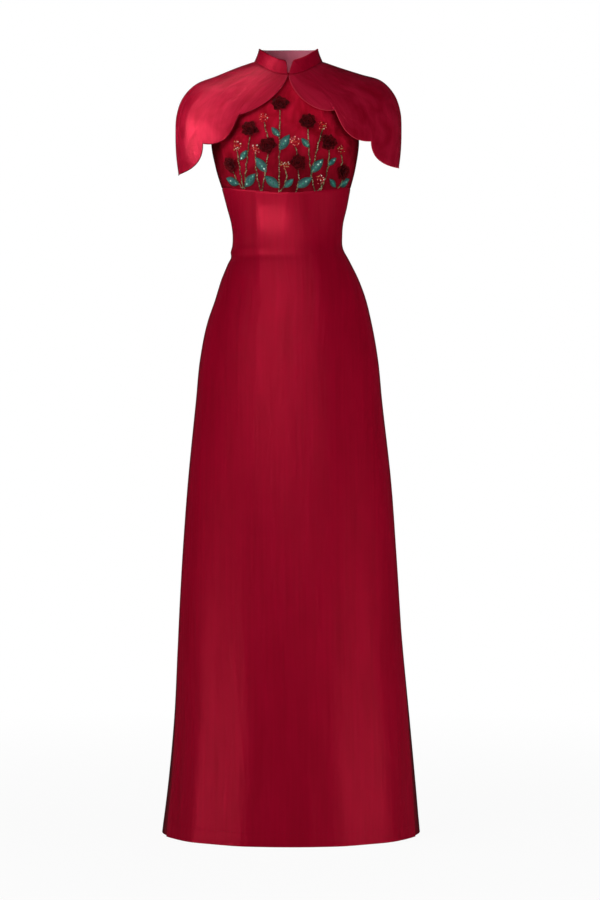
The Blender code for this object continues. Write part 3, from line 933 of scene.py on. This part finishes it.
def facing_points(side, share, rise):
    """The lining, which runs on below the neck seam as a facing that grows towards the centre back."""
    near = share if side > 0 else 1 - share
    low = FACING_DROP / COLLAR[-1].place * smoothstep((near - FACING_FROM) / FACING_RUN)
    below = np.minimum(rise * (1 + low) - low, 0)
    height = mix(-low, 1, rise)
    return collar_points(side, LINING_INSET - FACING_INSET * below, LINING_DROP, share, height)


lining_cloth = woven(
    "mauve_lining",
    dark=(0.76, 0.160, 0.245),
    light=(0.92, 0.225, 0.335),
    thread=0.00040,
    float_length=2.0,
    streaks=0.4,
    mottling=0.6,
    roughness=0.6,
    relief=0.5,
    drape=(60, 40, 0.0006, 0.4),
    rim=(0.80, 1.0, 0.50),
    shader={"Sheen Weight": 0.5, "Sheen Roughness": 0.5},
)

collar_satin = red_satin("collar_satin", drape=(60, 50, 0.0016, 1.2), rim=(0.62, 0.95, 0.22))

# The rolled edge is painted a darker red than the satin, a painted shade, and paler on the viewer's right of
# the neck, a painted highlight.
rolled_satin, tree, surface = new_material("rolled_satin_edge")
pull = noise(tree, object_place(tree), 240.0)
colour = blend(tree, pull, (0.060, 0.0004, 0.003), (0.200, 0.0010, 0.010))
painted_light = map_range(tree, object_place(tree, "X"), ROLL_PAINTED_LIGHT_FROM, ROLL_PAINTED_LIGHT_TO, 0.0, 0.75)
colour = blend(tree, painted_light, colour, (0.620, 0.030, 0.060))
feed(tree, surface, {"Base Color": colour, "Roughness": 0.5, "Specular IOR Level": 0.05})

collar_rows = crowded(22, (0, 0.05), (1, 0.05))[:, None]
collar_columns = crowded(90, (0, 0.19), (1, 0.19))[None, :]
for side, word in SIDES:
    outer = collar_points(side, 0, 0, collar_columns, collar_rows)
    collar = lay_cloth(f"collar_satin_{word}", outer, COLLAR_WALL, collar_satin, "satin", f"collar_{word}")
    inner = facing_points(side, collar_columns, collar_rows)
    lining_name = f"collar_lining_cloth_{word}"
    lining = lay_cloth(lining_name, inner, LINING_WALL, lining_cloth, "lining", f"collar_lining_{word}")
    end = outer[:, 0] if side > 0 else outer[:, -1]
    top = outer[-1] if side > 0 else outer[-1, ::-1]
    edge = path_mesh([np.concatenate([end, top[1:]])])
    add_grown(f"collar_roll_{word}", "satin", edge, tube_tree, rolled_satin, {"Radius": COLLAR_ROLL})


# Cape. Two fronts and two backs of satin, joined by shoulder seams and sewn in under the collar. Each
# front has three scallops, and a narrow rolled hem runs along the whole edge.
CAPE_WALL = 0.0009
CAPE_ROLL = 0.0009
CAPE = [
    Ring(0, 0.0655, 0.0660, 0.0570, -0.0235, 0.0085, 0.0125, 0, 0),
    Ring(1, 0.1000, 0.0800, 0.0780, -0.0500, -0.0036, -0.0100, 0, 0),
    Ring(2, 0.1400, 0.0900, 0.0960, -0.0780, -0.0180, -0.0380, 0, 0.0018),
    Ring(3, 0.1780, 0.0990, 0.1070, -0.1080, -0.0315, -0.0700, 0, 0.0035),
    Ring(4, 0.2035, 0.1055, 0.1130, -0.1350, -0.0580, -0.1020, 0, 0.0035),
    Ring(5, 0.2155, 0.1090, 0.1170, -0.1600, -0.0920, -0.1340, 0, 0.0035),
    Ring(6, 0.2175, 0.1100, 0.1190, -0.1850, -0.1300, -0.1660, 0, 0.0035),
    Ring(7, 0.2160, 0.1120, 0.1200, -0.2100, -0.1700, -0.1980, 0, 0.0035),
    Ring(8, 0.2110, 0.1120, 0.1200, -0.2350, -0.2100, -0.2300, 0, 0.0035),
]

# A scallop of the edge starts at a cusp and bows to the next row's cusp. An azimuth here is the turn
# away from the front, and a reach is a place in CAPE.
Scallop = namedtuple("Scallop", "azimuth reach bow_azimuth bow_reach")
FRONT_EDGE = {
    -1: [
        Scallop(0.4, 0.14, 15.2, 2.35),
        Scallop(29.3, 3.51, 28.0, 5.80),
        Scallop(48.4, 5.98, 47.5, 7.95),
        Scallop(90.0, 7.90, 0, 0),
    ],
    1: [
        Scallop(0.4, 0.14, 15.0, 3.00),
        Scallop(28.7, 3.20, 26.5, 5.50),
        Scallop(46.3, 5.95, 46.5, 7.90),
        Scallop(90.0, 7.73, 0, 0),
    ],
}
BACK_EDGE = {
    -1: [
        Scallop(90.0, 7.90, 124.0, 7.60),
        Scallop(128.0, 5.40, 150.0, 5.80),
        Scallop(180.0, 4.80, 0, 0),
    ],
    1: [
        Scallop(90.0, 7.73, 124.0, 7.45),
        Scallop(128.0, 5.30, 150.0, 5.80),
        Scallop(180.0, 4.80, 0, 0),
    ],
}
REACH_STEP = 0.0285
SCALLOP_STEPS = 36
NECK_DIP = 0.0016
NECK_DIP_RUN = 0.0030
CAPE_CREASES = [
    Crease(-58, 0.030, -66, 0.190, 0.0120, 0.0014),
    Crease(-40, 0.020, -44, 0.150, 0.0140, -0.0012),
    Crease(-74, 0.060, -80, 0.215, 0.0110, -0.0013),
    Crease(-22, 0.010, -26, 0.090, 0.0100, 0.0008),
    Crease(24, 0.012, 28, 0.085, 0.0090, 0.0009),
    Crease(44, 0.022, 47, 0.155, 0.0130, -0.0013),
    Crease(60, 0.034, 68, 0.200, 0.0120, 0.0014),
    Crease(78, 0.070, 82, 0.210, 0.0110, -0.0012),
    Crease(104, 0.050, 108, 0.200, 0.0120, 0.0015),
    Crease(126, 0.020, 131, 0.150, 0.0130, -0.0013),
    Crease(152, 0.020, 156, 0.140, 0.0140, 0.0013),
    Crease(-100, 0.060, -106, 0.205, 0.0120, 0.0014),
    Crease(-122, 0.030, -128, 0.150, 0.0120, -0.0014),
    Crease(-150, 0.025, -153, 0.138, 0.0140, 0.0012),
]


def edge_points(scallops, share):
    """Azimuth and reach of the scalloped edge, and the straight run between its cusps' azimuths."""
    count = len(scallops) - 1
    index = np.minimum((share * count + 1e-6).astype(int), count - 1)
    t = share * count - index
    rows = np.array(scallops)
    here = np.moveaxis(rows[index], -1, 0)
    there = np.moveaxis(rows[index + 1], -1, 0)
    azimuth = mix(mix(here[0], here[2], t), mix(here[2], there[0], t), t)
    reach = mix(mix(here[1], here[3], t), mix(here[3], there[1], t), t)
    return azimuth, reach, mix(here[0], there[0], t)


def cape_points(side, scallops, share, rise):
    share = share if side > 0 else 1 - share
    azimuth, reach, neck_azimuth = edge_points(scallops, share)
    place = reach * (1 - rise)
    ring = ring_at(CAPE, place)
    turn = mix(azimuth, neck_azimuth, rise)
    turn = np.clip(turn, scallops[0].azimuth, scallops[-1].azimuth)
    outward = creased(CAPE_CREASES, side * turn, place * REACH_STEP, ring.half_width)
    shoulder = np.radians(np.abs(turn - 90)) * ring.half_width
    neck = place * REACH_STEP
    outward = outward - SEAM_DIP * bump(shoulder, SEAM_DIP_RUN) - NECK_DIP * bump(neck, NECK_DIP_RUN)
    return ring_points(ring, side * turn, outward)


# The cape's satin is paler and pinker at its lightest, and its crests are painted much paler: a painted
# sheen.
cape_satin = red_satin(
    "cape_satin", drape=(30, 26, 0.0014, 2.2), rim=(0.72, 0.98, 0.25), light=(0.480, 0.0075, 0.038)
)
rises = crowded(56, (0, 0.2), (1, 0.2))[:, None]
for side, word in SIDES:
    for part, scallops, area in (("front", FRONT_EDGE[side], 0.037), ("back", BACK_EDGE[side], 0.0445)):
        count = SCALLOP_STEPS * (len(scallops) - 1) + 1
        columns = np.linspace(0, 1, count)
        grid = cape_points(side, scallops, columns[None, :] + 0 * rises, rises + 0 * columns[None, :])
        name = f"cape_satin_{part}_{word}"
        cape = lay_cloth(name, grid, CAPE_WALL, cape_satin, "satin", f"cape_{part}_{word}")
        edges = [grid[0, at : at + SCALLOP_STEPS + 1] for at in range(0, count - 1, SCALLOP_STEPS)]
        name = f"cape_roll_{part}_{word}"
        add_grown(name, "satin", path_mesh(edges), tube_tree, rolled_satin, {"Radius": CAPE_ROLL})


# Roses. Each is a rosette of ruffled wine velvet petals, dense and upright in its middle and nearly flat
# outside, sewn on the yoke by its base.
PETAL_WIDTH = 0.0140
PETAL_LENGTH = 0.0118
PETAL_CUP = 0.0030
PETAL_CURL = 0.0024
PETAL_RUFFLE = 0.0006
PETAL_TURN = 137.5
PETAL_WOBBLE = 0.12
PETAL_WALL = 0.00035
ON_CLOTH = 0.0002

# Middles of the appliques as seen from the front. turn leans a leaf's tip to the viewer's right.
Motif = namedtuple("Motif", "x z turn")
ROSES = [
    Motif(-0.1084, -0.1951, 20),
    Motif(-0.0725, -0.1326, 70),
    Motif(-0.0384, -0.1629, 0),
    Motif(-0.0157, -0.0834, 45),
    Motif(0.0183, -0.1951, 100),
    Motif(0.0372, -0.1175, 10),
    Motif(0.0770, -0.1572, 60),
    Motif(0.1035, -0.2090, 30),
]

rose_velvet, tree, surface = new_material("rose_velvet")
place = object_place(tree)
uv = add_node(tree, "ShaderNodeUVMap", uv_map="petal")
height = add_node(tree, "ShaderNodeSeparateXYZ", {0: uv}, out="Y")
fold = math_node(tree, "MULTIPLY_ADD", noise(tree, place, 160.0), 1.2, 0.4)
# The petals are painted dark at their feet and light at their rims: painted shade deep in the rose and a
# painted highlight on the ruffled rims.
tone = product(tree, math_node(tree, "POWER", height, 2.2), fold)
nap = {"Height": noise(tree, place, 2600.0), "Strength": 0.5, "Distance": 0.0002}
velvet = {
    "Base Color": blend(tree, tone, (0.016, 0.0003, 0.0010), (0.120, 0.0016, 0.0045)),
    "Normal": add_node(tree, "ShaderNodeBump", nap),
    "Roughness": 0.85,
    "Specular IOR Level": 0.1,
    "Sheen Weight": 0.25,
    "Sheen Roughness": 0.4,
    "Sheen Tint": (0.9, 0.15, 0.2, 1),
}
feed(tree, surface, velvet)

yoke_ground = BVHTree.FromObject(front_yoke, bpy.context.evaluated_depsgraph_get())


def on_yoke(x, z):
    """The yoke's outer point straight behind a place in the front view, and its normal."""
    return yoke_ground.ray_cast(Vector((x, -1, z)), Vector((0, 1, 0)))[:2]


def motif_axes(motif):
    """The middle of a motif on the yoke, its length's and its width's directions, and the normal."""
    centre, normal = on_yoke(motif.x, motif.z)
    right = Vector((0, 0, 1)).cross(normal).normalized()
    up = normal.cross(right)
    along = up * cos(radians(motif.turn)) + right * sin(radians(motif.turn))
    return centre, along, normal.cross(along), normal


def petal_mesh():
    """One cupped petal that stands on the origin, hollow towards +Y, with a ruffled, rolled rim."""
    s, t = np.meshgrid(np.linspace(-1, 1, 8), np.linspace(0, 1, 6))
    # The width runs from a narrow foot to a broad, blunt rim.
    width = PETAL_WIDTH / 2 * np.sin(pi * (0.14 + 0.74 * t)) ** 0.7
    y = PETAL_CUP * s**2 * (1 - 0.5 * t) - PETAL_CURL * t**3
    y = y + PETAL_RUFFLE * np.sin(3 * pi * s) * t**2
    z = PETAL_LENGTH * t * (1 - 0.16 * s**2)
    return grid_mesh("petal", np.stack([s * width, y, z], axis=-1), "petal", (s, t))


def graded(tree, share, ease, inner, outer, wobble):
    """A value that runs from the rose's middle to its rim, a little uneven."""
    span = math_node(tree, "SUBTRACT", outer, inner)
    even = math_node(tree, "MULTIPLY_ADD", math_node(tree, "POWER", share, ease), span, inner)
    return math_node(tree, "ADD", even, wobble)


tree, given, made = new_geometry_tree(
    "rosette",
    [
        ("Petals", "Int", 24),
        ("Core Radius", "Float", 0.0066),
        ("Inner Lean", "Float", 0.10),
        ("Outer Lean", "Float", 1.25),
        ("Inner Scale", "Float", 0.60),
        ("Seed", "Int", 0),
    ],
)
number = add_node(tree, "GeometryNodeInputIndex")
share = math_node(tree, "DIVIDE", number, given["Petals"])
angle = product(tree, number, radians(PETAL_TURN))
distance = product(tree, math_node(tree, "POWER", share, 0.8), given["Core Radius"])
x = product(tree, math_node(tree, "SINE", angle), distance)
y = product(tree, math_node(tree, "COSINE", angle), distance)
y = product(tree, y, -1.0)
foot = add_node(tree, "ShaderNodeCombineXYZ", {"X": x, "Y": y})
feet = add_node(tree, "GeometryNodePoints", {"Count": given["Petals"], "Position": foot})
wobble = random_value(tree, -PETAL_WOBBLE, PETAL_WOBBLE, given["Seed"])
lean = graded(tree, share, 0.9, given["Inner Lean"], given["Outer Lean"], wobble)
size = graded(tree, share, 0.7, given["Inner Scale"], 1.0, wobble)
petals = set_out(tree, feet, given["Geometry"], turned_by(tree, lean, wobble, angle), size)
rose_tree = finish_tree(tree, petals, given, made)

for count, motif in enumerate(ROSES, 1):
    centre, along, beside, normal = motif_axes(motif)
    name = f"velvet_rose_{count}"
    rose = grow(name, petal_mesh(), rose_tree, rose_velvet, {"Seed": count}, wall=PETAL_WALL)
    axes = Matrix([-beside, along, normal]).transposed().to_4x4()
    rose.transform(Matrix.Translation(centre + normal * ON_CLOTH) @ axes)
    add_piece(name, rose, "rose", f"rose_{count}")


# Leaves. Teal satin stitch over a padded shape, in slanting threads from the midrib, edged with a darker
# cord, with a row of green glass beads along the midrib.
LEAF_LENGTH = 0.034
LEAF_WIDTH = 0.016
LEAF_HEIGHT = 0.0014
LEAF_WALL = 0.0004
LEAF_TAPER = 0.12
RIB_DEPTH = 0.45
RIB_RUN = 0.16
THREAD_SLANT = 0.35
THREAD_WAVES = 62.0
LANDING_HEIGHT = 0.02
SMALL_LEAF = 0.66
LEAVES = [
    Motif(-0.1066, -0.2268, -66),
    Motif(-0.0725, -0.2272, 45),
    Motif(-0.0517, -0.1988, -36),
    Motif(-0.0309, -0.2310, -50),
    Motif(-0.0072, -0.1572, 33),
    Motif(0.0306, -0.2320, 55),
    Motif(0.0543, -0.2007, 40),
    Motif(0.1070, -0.2277, 64),
]
SMALL_LEAVES = [
    Motif(-0.0848, -0.1809, 38),
    Motif(-0.0242, -0.1374, -40),
    Motif(0.0325, -0.1582, -40),
    Motif(0.0826, -0.1922, 45),
    Motif(0.0013, -0.2338, 45),
    Motif(0.0840, -0.2310, -48),
]

leaf_thread, tree, surface = new_material("leaf_thread")
uv = add_node(tree, "ShaderNodeUVMap", uv_map="leaf")
on = add_node(tree, "ShaderNodeSeparateXYZ", {0: uv}).node.outputs
edge = math_node(tree, "ABSOLUTE", on["Y"])
slant = math_node(tree, "SUBTRACT", on["X"], product(tree, edge, THREAD_SLANT))
thread = math_node(tree, "ABSOLUTE", math_node(tree, "SINE", product(tree, slant, THREAD_WAVES)))
dye = math_node(tree, "ADD", noise(tree, object_place(tree), 300.0, 3.0), 0.35)
tone = math_node(tree, "MULTIPLY_ADD", edge, -0.75, dye)
# The grooves between the threads are painted darker than their crowns: painted shade.
tone = product(tree, tone, math_node(tree, "MULTIPLY_ADD", thread, 0.45, 0.55))
colour = blend(tree, tone, (0.004, 0.040, 0.036), (0.048, 0.205, 0.195))
relief = add_node(tree, "ShaderNodeBump", {"Height": thread, "Strength": 0.8, "Distance": 0.0002})
feed(tree, surface, {"Base Color": colour, "Normal": relief, "Roughness": 0.35})

dark_cord, tree, surface = new_material("leaf_edge_cord")
dye = noise(tree, object_place(tree), 500.0)
colour = blend(tree, dye, (0.002, 0.020, 0.016), (0.012, 0.080, 0.062))
feed(tree, surface, {"Base Color": colour, "Roughness": 0.5})


def tone_ramp(tree, share, tones, change="LINEAR"):
    """A colour that follows share through the tones, each one a start and a colour."""
    ramp = add_node(tree, "ShaderNodeValToRGB", {"Fac": share}).node
    ramp.color_ramp.interpolation = change
    stops = ramp.color_ramp.elements
    stops.remove(stops[1])
    stops[0].position = tones[0][0]
    stops[0].color = (*tones[0][1], 1)
    for start, tone in tones[1:]:
        stops.new(start).color = (*tone, 1)
    return ramp.outputs["Color"]


def glass_bead(name, dark, middle, light, roughness):
    """Glossy beads or threads that run from dark to light, each one in its own shade."""
    material, tree, surface = new_material(name)
    tint = add_node(tree, "ShaderNodeAttribute", out="Fac", attribute_name="tint")
    soft = noise(tree, object_place(tree), 900.0, 1.0)
    share = math_node(tree, "MULTIPLY_ADD", soft, 0.4, math_node(tree, "SUBTRACT", tint, 0.2))
    colour = tone_ramp(tree, share, [(0.10, dark), (0.55, middle), (0.95, light)])
    glass = {"Roughness": roughness, "Metallic": 0.3, "Coat Weight": 0.8, "Coat Roughness": 0.05}
    feed(tree, surface, {"Base Color": colour, **glass})
    return material


green_glass = glass_bead("green_glass", (0.010, 0.22, 0.11), (0.10, 0.62, 0.36), (0.72, 0.95, 0.85), 0.12)


def leaf_grid(motif, scale):
    """Outer points of a padded leaf on the yoke, the tip last and its left edge first."""
    centre, along, beside, normal = motif_axes(motif)
    t = np.linspace(-1, 1, 25)
    s = np.linspace(-1, 1, 13)
    grid = np.zeros((25, 13, 3))
    for i, share in enumerate(t):
        half = LEAF_WIDTH / 2 * scale * (1 - share**2) * (1 - LEAF_TAPER * share)
        for j, across in enumerate(s):
            flat = along * (share * LEAF_LENGTH / 2 * scale) - beside * (across * half)
            landed, ground = yoke_ground.ray_cast(centre + flat + normal * LANDING_HEIGHT, -normal)[:2]
            dome = (1 - across**2) ** 0.6 * (1 - share**2) ** 0.5 - RIB_DEPTH * bump(across, RIB_RUN)
            raised = ON_CLOTH + LEAF_HEIGHT * scale * max(dome, 0) + LEAF_WALL
            grid[i, j] = landed + ground * raised
    return grid


cords = []
ribs = []
for count, motif in enumerate(LEAVES + SMALL_LEAVES, 1):
    large = count <= len(LEAVES)
    grid = leaf_grid(motif, 1 if large else SMALL_LEAF)
    rows, columns = grid.shape[:2]
    uv = np.meshgrid(np.linspace(-1, 1, rows), np.linspace(-1, 1, columns), indexing="ij")
    mesh = grid_mesh(f"stitched_leaf_{count}", grid, "leaf", uv)
    mesh.shade_smooth()
    mesh.materials.append(leaf_thread)
    leaf = add_piece(f"stitched_leaf_{count}", mesh, "leaf", *([f"leaf_{count}"] if large else []))
    add_wall(leaf, LEAF_WALL)
    ribs.append(grid[5 : 20 if large else 18, columns // 2])
    cords.append(np.concatenate([grid[:, 0], grid[::-1, -1]]))

cord_sizes = {"Spacing": 0.0010, "Width": 0.0014, "Length": 0.0021, "Tilt": 0.5}
add_grown("leaf_edge_cord", "leaf", path_mesh(cords), bead_tree, dark_cord, cord_sizes)
rib_sizes = {"Spacing": 0.0052, "Width": 0.0034, "Length": 0.0034, "Sides": 8, "Seed": 4}
add_grown("leaf_midrib_beads", "leaf", path_mesh(ribs), bead_tree, green_glass, rib_sizes)


# Stems. Two strands of tiny olive and gold beads, twisted round each other and couched on the yoke from
# the underbust seam up to each rose or spray.
STEM_LIFT = 0.0008
STEM_SWAY = 0.0008
STEM_STEP = 0.0015
SWAY_WAVES = (330, 810)
SWAY_STARTS = (900, 500)
SWAY_RIPPLE = 0.6
STEM_PATHS = [
    [(-0.0872, -0.2411), (-0.0961, -0.2272), (-0.1046, -0.2083)],
    [(-0.0850, -0.2415), (-0.0905, -0.2121), (-0.0961, -0.1742)],
    [(-0.0826, -0.2420), (-0.0791, -0.1988), (-0.0725, -0.1459)],
    [(-0.0522, -0.2468), (-0.0592, -0.2159), (-0.0621, -0.1761)],
    [(-0.0498, -0.2470), (-0.0432, -0.2121), (-0.0384, -0.1761)],
    [(-0.0375, -0.1515), (-0.0422, -0.1345), (-0.0451, -0.1194)],
    [(-0.0176, -0.2490), (-0.0167, -0.1705), (-0.0157, -0.0967)],
    [(-0.0150, -0.2486), (-0.0044, -0.2291), (-0.0053, -0.2102)],
    [(0.0145, -0.2490), (0.0193, -0.2291), (0.0183, -0.2083)],
    [(0.0500, -0.2470), (0.0410, -0.1988), (0.0372, -0.1307)],
    [(0.0429, -0.2234), (0.0533, -0.1742), (0.0647, -0.1326)],
    [(0.0612, -0.2451), (0.0732, -0.2102), (0.0770, -0.1705)],
    [(0.0556, -0.2461), (0.0618, -0.2386), (0.0609, -0.2329)],
    [(0.0940, -0.2390), (0.0978, -0.2348), (0.1034, -0.2215)],
    [(0.0997, -0.1969), (0.1016, -0.1875), (0.0997, -0.1780)],
    [(0.0164, -0.1818), (0.0155, -0.1742), (0.0136, -0.1667)],
]

stem_beads = glass_bead(
    "olive_and_gold_beads", (0.006, 0.016, 0.005), (0.052, 0.088, 0.026), (0.420, 0.390, 0.180), 0.28
)


def laid_path(points):
    """A path through three places in the front view, laid on the yoke with the small sway of handwork."""
    (x0, z0), (x1, z1), (x2, z2) = points
    steps = max(int(np.hypot(x2 - x0, z2 - z0) / STEM_STEP), 3)
    path = []
    for t in np.linspace(0, 1, steps + 1):
        first = 2 * (t - 0.5) * (t - 1)
        middle = -4 * t * (t - 1)
        last = 2 * t * (t - 0.5)
        x = first * x0 + middle * x1 + last * x2
        z = first * z0 + middle * z1 + last * z2
        slow = sin(z * SWAY_WAVES[0] + x0 * SWAY_STARTS[0])
        quick = sin(z * SWAY_WAVES[1] + x2 * SWAY_STARTS[1])
        x = x + STEM_SWAY * (slow + SWAY_RIPPLE * quick) * sin(pi * t)
        point, normal = on_yoke(x, z)
        path.append(point + normal * STEM_LIFT)
    return path


stems = path_mesh([laid_path(points) for points in STEM_PATHS])
stem_sizes = {"Spacing": 0.0013, "Width": 0.0016, "Length": 0.0032, "Tilt": 0.60, "Sides": 7, "Seed": 2}
add_grown("beaded_stems", "leaf", stems, bead_tree, stem_beads, stem_sizes)


# Sprays. Clusters of tiny red, pink and gold crystals at the ends of fine threads, round the tops of
# the stems that carry no rose.
SPRAY_RADIUS = 0.0105
SPRAY_SIDES = 12
SPRAY_DOME = 0.0012
SPRAY_RIM = 0.0008
SPRAY_CRYSTALS = 38
THREAD_LIFT = 0.0010
THREAD_RADIUS = 0.00022
THREAD_STEPS = (0, 2, 3, 9, 10)
SPRAYS = [
    Motif(-0.0971, -0.1629, 0),
    Motif(-0.0460, -0.1099, 0),
    Motif(-0.0063, -0.2007, 0),
    Motif(0.0656, -0.1232, 0),
    Motif(0.0997, -0.1686, 0),
    Motif(-0.0621, -0.1686, 0),
    Motif(0.0609, -0.2253, 0),
    Motif(0.0126, -0.1572, 0),
]
CRYSTAL_TONES = [
    (1.0, 0.050, 0.030),
    (0.16, 0.004, 0.008),
    (0.95, 0.26, 0.24),
    (0.62, 0.40, 0.15),
    (0.95, 0.82, 0.70),
]


def cut_crystal(name, *starts):
    """Clear, shiny crystals whose tint picks a tone: red, wine, pink, gold or pale, each from its start."""
    material, tree, surface = new_material(name)
    tint = add_node(tree, "ShaderNodeAttribute", out="Fac", attribute_name="tint")
    colour = tone_ramp(tree, tint, list(zip(starts, CRYSTAL_TONES)), "CONSTANT")
    rough = map_range(tree, noise(tree, object_place(tree), 1500.0), 0.0, 1.0, 0.04, 0.2)
    feed(tree, surface, {"Base Color": colour, "Roughness": rough, "Metallic": 0.1, "Coat Weight": 1.0})
    return material


red_crystals = cut_crystal("red_crystals", 0, 0.56, 0.70, 0.90, 0.96)
gold_crystals = cut_crystal("gold_crystals", 0, 0.22, 0.42, 0.66, 0.88)

tree, given, made = new_geometry_tree(
    "scattered_crystals",
    [
        ("Density", "Float", 90000.0),
        ("Smallest", "Float", 0.00060),
        ("Largest", "Float", 0.00130),
        ("Seed", "Int", 0),
    ],
)
ground = {"Mesh": given["Geometry"], "Density": given["Density"], "Seed": given["Seed"]}
scatter = add_node(tree, "GeometryNodeDistributePointsOnFaces", ground).node.outputs
size = random_value(tree, given["Smallest"], given["Largest"], given["Seed"])
facets = add_node(tree, "GeometryNodeMeshIcoSphere", {"Radius": 1.0, "Subdivisions": 1})
crystals = set_out(tree, scatter["Points"], facets, scatter["Rotation"], size)
crystal_tree = finish_tree(tree, tinted(tree, crystals, given["Seed"]), given, made, smooth=False)

chance = Random(11)
for word, mixed, sprays in (("red", red_crystals, SPRAYS[1::2]), ("gold", gold_crystals, SPRAYS[::2])):
    verts = []
    faces = []
    threads = []
    for spray in sprays:
        centre, along, beside, normal = motif_axes(spray)
        start = len(verts)
        verts.append(centre + normal * SPRAY_DOME)
        rim = []
        for step in range(SPRAY_SIDES):
            angle = tau * step / SPRAY_SIDES
            reach = SPRAY_RADIUS * chance.uniform(0.65, 1.15)
            place = centre + (along * cos(angle) + beside * sin(angle)) * reach
            landed, ground = yoke_ground.ray_cast(place + normal * LANDING_HEIGHT, -normal)[:2]
            rim.append(landed + ground * SPRAY_RIM)
            faces.append((start, start + 1 + step, start + 1 + (step + 1) % SPRAY_SIDES))
        verts.extend(rim)
        threads.extend([centre + normal * THREAD_LIFT, rim[step]] for step in THREAD_STEPS)
    patches = bpy.data.meshes.new(f"{word}_spray_patches")
    patches.from_pydata([tuple(vert) for vert in verts], [], faces)
    sizes = {"Density": SPRAY_CRYSTALS / (pi * SPRAY_RADIUS**2), "Seed": len(word)}
    add_grown(f"{word}_crystal_sprays", "leaf", patches, crystal_tree, mixed, sizes)
    sizes = {"Radius": THREAD_RADIUS, "Sides": 5}
    add_grown(f"{word}_spray_threads", "leaf", path_mesh(threads), tube_tree, mixed, sizes)


# Stitching. Small slip stitches of red thread hold the turned hem of the front panel and of both back
# panels, sewn by hand just above the turn's upper edge.
STITCH_LIFT = 0.0015
red_thread = glass_bead(
    "red_thread", (0.10, 0.001, 0.005), (0.19, 0.002, 0.010), (0.28, 0.003, 0.014), 0.55
)
hem_row = np.full((1, 1), HEM - HEM_TURN - STITCH_LIFT)
hem_paths = [front_panel_points(hem_row, np.linspace(0.01, 0.99, 150)[None, :])[0]]
back_share = np.linspace(0.03, 0.99, 80)[None, :]
for side in (-1, 1):
    run = back_share if side > 0 else 1 - back_share[:, ::-1]
    hem_paths.append(back_panel_points(side, hem_row, run)[0])
stitch_sizes = {"Spacing": 0.0075, "Width": 0.0006, "Length": 0.0022}
add_grown("hem_stitches", "satin", path_mesh(hem_paths), bead_tree, red_thread, stitch_sizes)

low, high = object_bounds()
corners = {"cad": [list(corner) for corner in cad_box], "visual": [list(low), list(high)]}
